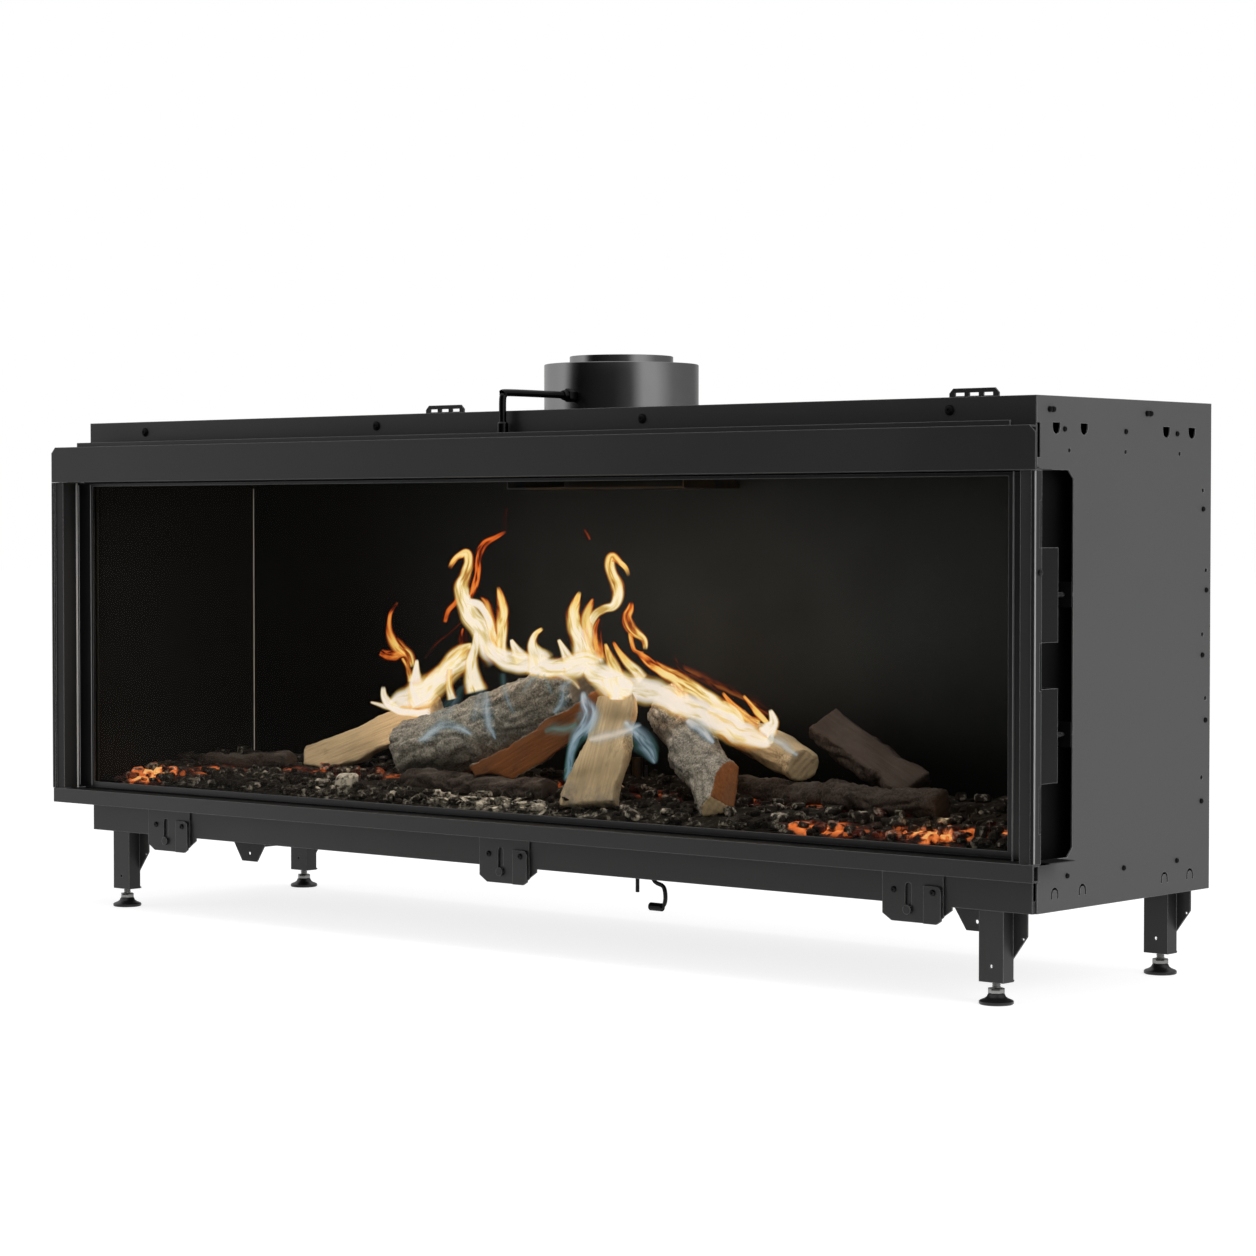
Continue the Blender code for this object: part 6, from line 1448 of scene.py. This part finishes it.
# Flames. Each has the depth of its upright plane in millimetres, how much it covers, its heat at the foot
# and at the tip, and its spine from foot to tip. A point of a spine is a pixel of the photograph, across and
# down, with the flame's width there, all three in pixels.
FLAMES = {
    "left_tongue": (-20, 0.85, 0.62, 0.22, (
        (412, 668, 9), (409, 655, 12), (399, 648, 14), (391, 637, 10), (389, 624, 7), (391, 612, 5),
        (398, 602, 3))),
    "left_blob": (-15, 0.80, 0.42, 0.28, (
        (406, 654, 8), (396, 655, 14), (387, 655, 13), (380, 652, 9))),
    "left_curl": (-22, 0.85, 0.75, 0.45, (
        (411, 682, 7), (408, 668, 6), (403, 657, 6))),
    "left_white": (-60, 0.95, 1.00, 0.85, (
        (424, 704, 34), (417, 688, 20), (416, 673, 9), (417, 659, 3))),
    "left_sickle": (-60, 0.97, 1.00, 1.00, (
        (432, 712, 10), (415, 713, 8), (400, 711, 8), (390, 704, 10), (384, 696, 7), (383, 686, 4))),
    "left_lick": (-60, 0.80, 1.00, 0.90, (
        (396, 709, 6), (384, 706, 6), (370, 702, 2))),
    "left_veil": (-60, 0.90, 0.97, 0.82, (
        (388, 707, 8), (400, 700, 18), (414, 696, 26), (428, 690, 30), (440, 681, 24), (450, 671, 22),
        (461, 660, 22), (472, 650, 14))),
    "rising_veil": (-40, 0.96, 0.85, 0.75, (
        (424, 694, 20), (434, 681, 18), (446, 668, 14), (456, 655, 16), (466, 648, 10), (473, 644, 4))),
    "skirt": (-92, 0.93, 0.80, 0.95, (
        (476, 693, 22), (473, 678, 16), (472, 660, 12), (475, 645, 8), (476, 630, 4))),
    "skirt_left": (-88, 0.85, 0.85, 0.70, (
        (452, 700, 10), (449, 685, 8), (450, 668, 6))),
    "orange_wisp": (-10, 0.80, 0.22, 0.14, (
        (460, 588, 5), (456, 602, 8), (448, 611, 8), (445, 623, 6))),
    "orange_low": (-10, 0.90, 0.10, 0.20, (
        (464, 652, 8), (463, 640, 11), (464, 628, 5))),
    "dark_thread": (-5, 0.50, 0.05, 0.12, (
        (424, 660, 3), (436, 644, 4), (450, 633, 4), (462, 622, 4))),
    "hook": (-14, 0.99, 0.93, 0.46, (
        (500, 662, 30), (486, 640, 22), (474, 620, 20), (466, 603, 18), (461, 588, 15), (465, 575, 12),
        (469, 563, 10), (467, 553, 9), (459, 556, 7), (453, 562, 6), (449, 569, 4))),
    "hook_orange": (-8, 0.93, 0.30, 0.12, (
        (470, 600, 5), (475, 587, 8), (478, 572, 8), (478, 558, 9), (484, 545, 9), (494, 538, 7),
        (507, 531, 3))),
    "arc": (-16, 0.96, 0.98, 0.70, (
        (468, 601, 6), (480, 605, 9), (488, 617, 8), (492, 632, 9), (498, 648, 12))),
    "arc_fill": (-12, 0.75, 0.50, 0.35, (
        (498, 650, 12), (494, 635, 12), (490, 618, 12), (487, 604, 9), (481, 596, 4))),
    "right_tongue": (-18, 0.98, 0.80, 0.48, (
        (501, 660, 14), (501, 644, 10), (502, 628, 11), (503, 612, 12), (501, 600, 9), (498, 586, 3))),
    "centre_veil": (-75, 0.96, 0.98, 0.90, (
        (486, 640, 10), (496, 654, 16), (512, 661, 20), (530, 664, 21), (548, 668, 20), (566, 668, 20),
        (584, 664, 26), (600, 668, 24))),
    "centre_drip": (-76, 0.60, 1.00, 0.95, (
        (500, 664, 4), (530, 671, 7), (556, 674, 9), (572, 680, 8), (580, 690, 3))),
    "spike_one": (-72, 0.95, 1.00, 0.85, (
        (522, 662, 18), (516, 651, 11), (511, 639, 3))),
    "spike_two": (-72, 0.97, 1.00, 0.55, (
        (542, 664, 30), (535, 652, 17), (533, 642, 9), (536, 634, 6), (543, 628, 3))),
    "spike_three": (-72, 0.95, 1.00, 0.80, (
        (574, 668, 20), (566, 654, 10), (558, 639, 3))),
    "twin_left": (-30, 0.98, 0.94, 0.46, (
        (594, 670, 30), (584, 648, 22), (577, 630, 17), (574, 614, 14), (576, 602, 9), (580, 591, 3))),
    "twin_right": (-26, 0.85, 0.75, 0.35, (
        (594, 655, 24), (588, 638, 15), (586, 622, 13), (589, 608, 9), (594, 598, 3))),
    "swan": (-22, 0.99, 0.90, 0.46, (
        (590, 645, 14), (589, 628, 9), (595, 615, 9), (604, 609, 8), (613, 606, 9), (618, 597, 11),
        (617, 586, 13), (613, 575, 11), (610, 565, 10), (612, 557, 9), (619, 561, 7), (626, 568, 5),
        (629, 577, 3))),
    "tan_tongue": (-24, 0.85, 0.50, 0.30, (
        (600, 660, 14), (597, 644, 12), (597, 630, 10), (600, 618, 4))),
    "yellow_tongue": (-45, 0.95, 0.85, 0.52, (
        (620, 682, 16), (614, 668, 12), (609, 655, 8), (605, 643, 3))),
    "brown_tongue": (-35, 0.92, 0.90, 0.18, (
        (644, 680, 14), (632, 668, 10), (622, 656, 7), (613, 641, 3))),
    "flag": (-18, 0.98, 0.72, 0.28, (
        (645, 650, 4), (644, 640, 7), (636, 633, 10), (629, 626, 12), (627, 617, 10), (630, 609, 8),
        (632, 601, 3))),
    "flag_loop": (-18, 0.90, 0.30, 0.45, (
        (644, 653, 3), (635, 651, 5), (632, 643, 5), (630, 632, 5))),
    "long_streak": (-22, 0.97, 0.95, 0.30, (
        (745, 729, 5), (737, 717, 11), (722, 706, 13), (702, 694, 14), (680, 680, 14), (662, 670, 12),
        (648, 661, 9), (634, 650, 4))),
    "right_veil": (-50, 0.90, 1.00, 0.95, (
        (600, 668, 24), (612, 684, 30), (630, 688, 30), (652, 692, 26), (676, 702, 26), (700, 711, 26),
        (724, 722, 30), (746, 735, 24), (764, 743, 12), (772, 744, 5))),
    "veil_drop": (-90, 0.97, 1.00, 0.95, (
        (616, 700, 14), (616, 690, 20), (614, 676, 20))),
    "veil_fade": (-40, 0.70, 0.70, 0.60, (
        (716, 726, 10), (738, 735, 24), (758, 738, 18), (768, 738, 6))),
    "end_tongue": (-20, 0.97, 1.00, 0.90, (
        (770, 745, 6), (768, 733, 15), (774, 722, 10), (770, 709, 3))),
    "end_lick": (-20, 0.95, 1.00, 0.95, (
        (771, 735, 8), (765, 731, 7), (759, 728, 2))),
    "gold_near": (-10, 0.92, 0.62, 0.28, (
        (760, 724, 10), (746, 717, 9), (734, 706, 7), (722, 692, 3))),
    "gold_far": (-8, 0.92, 0.55, 0.40, (
        (768, 724, 5), (758, 713, 7), (751, 705, 5), (743, 695, 3))),
    "glow_behind": (20, 0.30, 0.42, 0.36, (
        (772, 716, 8), (750, 702, 14), (725, 690, 16), (700, 678, 16), (683, 668, 14), (674, 655, 6))),
    "crest_join": (-85, 0.97, 1.00, 0.95, (
        (584, 668, 10), (596, 674, 22), (608, 680, 26), (622, 686, 24), (634, 690, 10))),
    "spark_left": (-8, 0.45, 0.16, 0.08, (
        (506, 530, 4), (505, 519, 6), (507, 507, 4))),
    "spark": (-10, 0.50, 0.20, 0.12, (
        (590, 540, 6), (587, 534, 8), (584, 529, 4))),
}
# Pale blue gas that runs down over the logs before it burns yellow, given in the same way.
BLUE_WISPS = {
    "left_band": (-105, 0.62, 0.6, 0.6, (
        (418, 742, 5), (430, 734, 10), (444, 725, 9), (458, 727, 8), (474, 736, 3))),
    "left_veil": (-100, 0.40, 0.6, 0.4, (
        (436, 722, 14), (450, 708, 14), (458, 694, 8), (468, 684, 3))),
    "grey_drop": (-100, 0.55, 0.5, 0.8, (
        (496, 740, 2), (490, 728, 8), (486, 708, 10), (487, 690, 6))),
    "grey_drop_left": (-100, 0.35, 0.5, 0.5, (
        (474, 722, 6), (476, 705, 14), (482, 690, 6))),
    "thin_drop": (-96, 0.45, 0.5, 0.5, (
        (514, 714, 2), (506, 695, 5), (502, 672, 6))),
    "thin_left": (-92, 0.45, 0.5, 0.5, (
        (522, 692, 2), (530, 682, 4), (540, 674, 3))),
    "thin_right": (-90, 0.45, 0.5, 0.5, (
        (552, 694, 3), (548, 684, 4), (543, 674, 3))),
    "crest": (-80, 0.60, 0.6, 0.8, (
        (553, 714, 4), (562, 702, 8), (564, 688, 8), (572, 680, 4))),
    "big_drop": (-118, 0.80, 0.3, 0.8, (
        (564, 782, 3), (569, 768, 6), (571, 752, 6), (577, 738, 11), (586, 724, 17), (590, 712, 15),
        (585, 700, 8), (583, 690, 3))),
    "teal": (-122, 0.55, 0.1, 0.1, (
        (544, 732, 5), (556, 729, 10), (568, 728, 8), (578, 723, 3))),
    "plank_band": (-142, 0.55, 1.0, 0.9, (
        (588, 740, 4), (600, 737, 10), (614, 734, 8), (628, 730, 9), (642, 724, 4))),
    "right_drop": (-132, 0.70, 0.5, 0.8, (
        (656, 764, 3), (650, 752, 12), (642, 740, 15), (632, 730, 12), (624, 720, 5))),
    "lilac": (-80, 0.75, 0.8, 0.9, (
        (714, 744, 3), (706, 734, 9), (696, 726, 10), (686, 719, 4))),
    "lilac_end": (-60, 0.60, 0.6, 0.7, (
        (798, 756, 3), (788, 749, 8), (776, 741, 9), (768, 736, 4))),
}
# The colours of the two gases from the coolest to the hottest, each with its share of the heat
YELLOW_GAS = ((0.0, "3A1008"), (0.12, "A8401A"), (0.25, "E8702A"), (0.40, "F0A04C"), (0.55, "F8CE72"),
              (0.70, "FBE6AA"), (0.85, "FFF4E0"), (1.0, "F8EFEA"))
BLUE_GAS = ((0.0, "5C8F8C"), (0.35, "7E9DB4"), (0.65, "B4CBE0"), (1.0, "F0EEF2"))
# Small lamps in the flames: the place and the power of each
FIRELIGHTS = (
    ((-0.20, -0.03, 0.40), 0.40), ((0.03, -0.03, 0.40), 0.40), ((0.16, -0.01, 0.34), 0.35),
    ((-0.33, -0.02, 0.33), 0.20), ((-0.05, -0.06, 0.20), 0.10), ((0.62, -0.10, 0.20), 0.05),
    ((-0.70, -0.10, 0.20), 0.05))


class FIREPLACE_OT_flames(Operator):
    """Raise the flames over the logs"""

    bl_idname = "fireplace.flames"
    bl_label = "Flames"

    def execute(self, context):
        for name, flames, finish, gas, strength, seed, spread in (
                ("flames_yellow", FLAMES, "burning_gas", YELLOW_GAS, 1.34, YELLOW_FLAME_SEED, 1.0),
                ("flame_wisps_blue", BLUE_WISPS, "unburnt_blue_gas", BLUE_GAS, 1.15, BLUE_WISP_SEED, 1.4)):
            stops = [(share, srgb(code)) for share, code in gas]
            self.group(name, flames, flame_material(finish, stops, strength), random.Random(seed), spread)
        for index, (place, power) in enumerate(FIRELIGHTS):
            data = bpy.data.lights.new("firelight", "POINT")
            data.energy, data.color, data.shadow_soft_size = power, srgb("FFD0A0")[:3], 30 * MM
            lamp = bpy.data.objects.new(f"firelight_{index}", data)
            lamp.location = place
            add_hidden_lamp(lamp)
        return {"FINISHED"}

    def group(self, name, flames, material, rng, spread):
        """Several flames as one piece: for each a bowed sheet that faces the room and a narrow one across."""
        bm = bmesh.new()
        layers = {"uv": bm.loops.layers.uv.new("sheet"), "flow": bm.verts.layers.float_vector.new("flow"),
                  "heat": bm.verts.layers.float.new("warmth"), "cover": bm.verts.layers.float.new("cover")}
        for depth, cover, foot_heat, tip_heat, spine in flames.values():
            path = []
            for across, down, width in spine:
                place = seen_at(across, down, depth * MM)
                path.append(Vector((*place, width * spread * FLAME_PIXEL)))
            foot = path[0].z
            for point in path:
                point.z = foot + (point.z - foot) * sizes().flame_height
            seed = rng.uniform(0, 40)
            self.ribbon(bm, layers, path, cover, (foot_heat, tip_heat), seed)
            self.ribbon(bm, layers, path, cover * 0.6, (foot_heat, tip_heat), seed, crossing=True)
        add_piece(name, bm, "casing", material, (), 180)

    def ribbon(self, bm, layers, spine, cover, heats, seed, crossing=False):
        """One sheet of flame along a spine of (x, y, z, width) points."""
        steps = 6 * (len(spine) - 1)
        grid = bmesh.ops.create_grid(bm, x_segments=8, y_segments=steps, size=0.5)
        path = smooth_path(spine, steps)
        toward = view_axes()[2] * -1
        for face in {face for vert in grid["verts"] for face in vert.link_faces}:
            for loop in face.loops:
                loop[layers["uv"]].uv = (loop.vert.co.x + 0.5, loop.vert.co.y + 0.5)
        along = [0.0]
        for first, second in zip(path, path[1:]):
            along.append(along[-1] + (second - first).xyz.length)
        for vert in grid["verts"]:
            u, v = vert.co.x + 0.5, vert.co.y + 0.5
            index = round(v * steps)
            centre, width = path[index].xyz, max(path[index].w, 1 * MM)
            ahead = (path[min(index + 1, steps)] - path[max(index - 1, 0)]).xyz.normalized()
            side = ahead.cross(toward).normalized()
            if crossing:
                side = side.cross(ahead) * 0.6
                bow = Vector((0, 0, 0))
            else:
                bow = toward * width * 0.25 * (1 - (2 * u - 1) ** 2)
            sway = noise.noise(Vector((along[index] / 0.02, seed, u * 0.5))) * width * 0.12
            vert.co = centre + side * ((u - 0.5) * width * 1.25 + sway) + bow
            vert[layers["flow"]] = Vector(((u - 0.5) * width, along[index], seed))
            vert[layers["heat"]] = heats[0] + (heats[1] - heats[0]) * v ** 1.4
            vert[layers["cover"]] = cover


# Panel and registration


class FIREPLACE_PT_looks(Panel):
    """Lists the sizes, the colours and the steps that build the fireplace"""

    bl_label = "Gas fireplace"
    bl_idname = "FIREPLACE_PT_looks"
    bl_space_type = "VIEW_3D"
    bl_region_type = "UI"
    bl_category = "Fireplace"

    def draw(self, context):
        layout = self.layout
        for group in (context.scene.fireplace_sizes, context.scene.fireplace_colours):
            column = layout.column(align=True)
            for name in group.__annotations__:
                column.prop(group, name)
        column = layout.column(align=True)
        for step in STEPS:
            column.operator(step.bl_idname)


STEPS = (FIREPLACE_OT_stage, FIREPLACE_OT_casing, FIREPLACE_OT_front_frame, FIREPLACE_OT_glass,
         FIREPLACE_OT_firebox, FIREPLACE_OT_flue, FIREPLACE_OT_gas_stub, FIREPLACE_OT_feet,
         FIREPLACE_OT_hangers, FIREPLACE_OT_logs, FIREPLACE_OT_embers, FIREPLACE_OT_flames)
CLASSES = (FireplaceSizes, FireplaceColours, *STEPS, FIREPLACE_PT_looks)


def register():
    """Register the classes and hang the settings on the scene."""
    for entry in CLASSES:
        bpy.utils.register_class(entry)
    bpy.types.Scene.fireplace_sizes = PointerProperty(type=FireplaceSizes)
    bpy.types.Scene.fireplace_colours = PointerProperty(type=FireplaceColours)


def unregister():
    """Take the settings and the classes away again."""
    del bpy.types.Scene.fireplace_colours
    del bpy.types.Scene.fireplace_sizes
    for entry in reversed(CLASSES):
        bpy.utils.unregister_class(entry)


def main():
    """Build the looks: register the classes and run every step."""
    register()
    for step in STEPS:
        group, name = step.bl_idname.split(".")
        getattr(getattr(bpy.ops, group), name)()


if __name__ == "__main__":
    main()
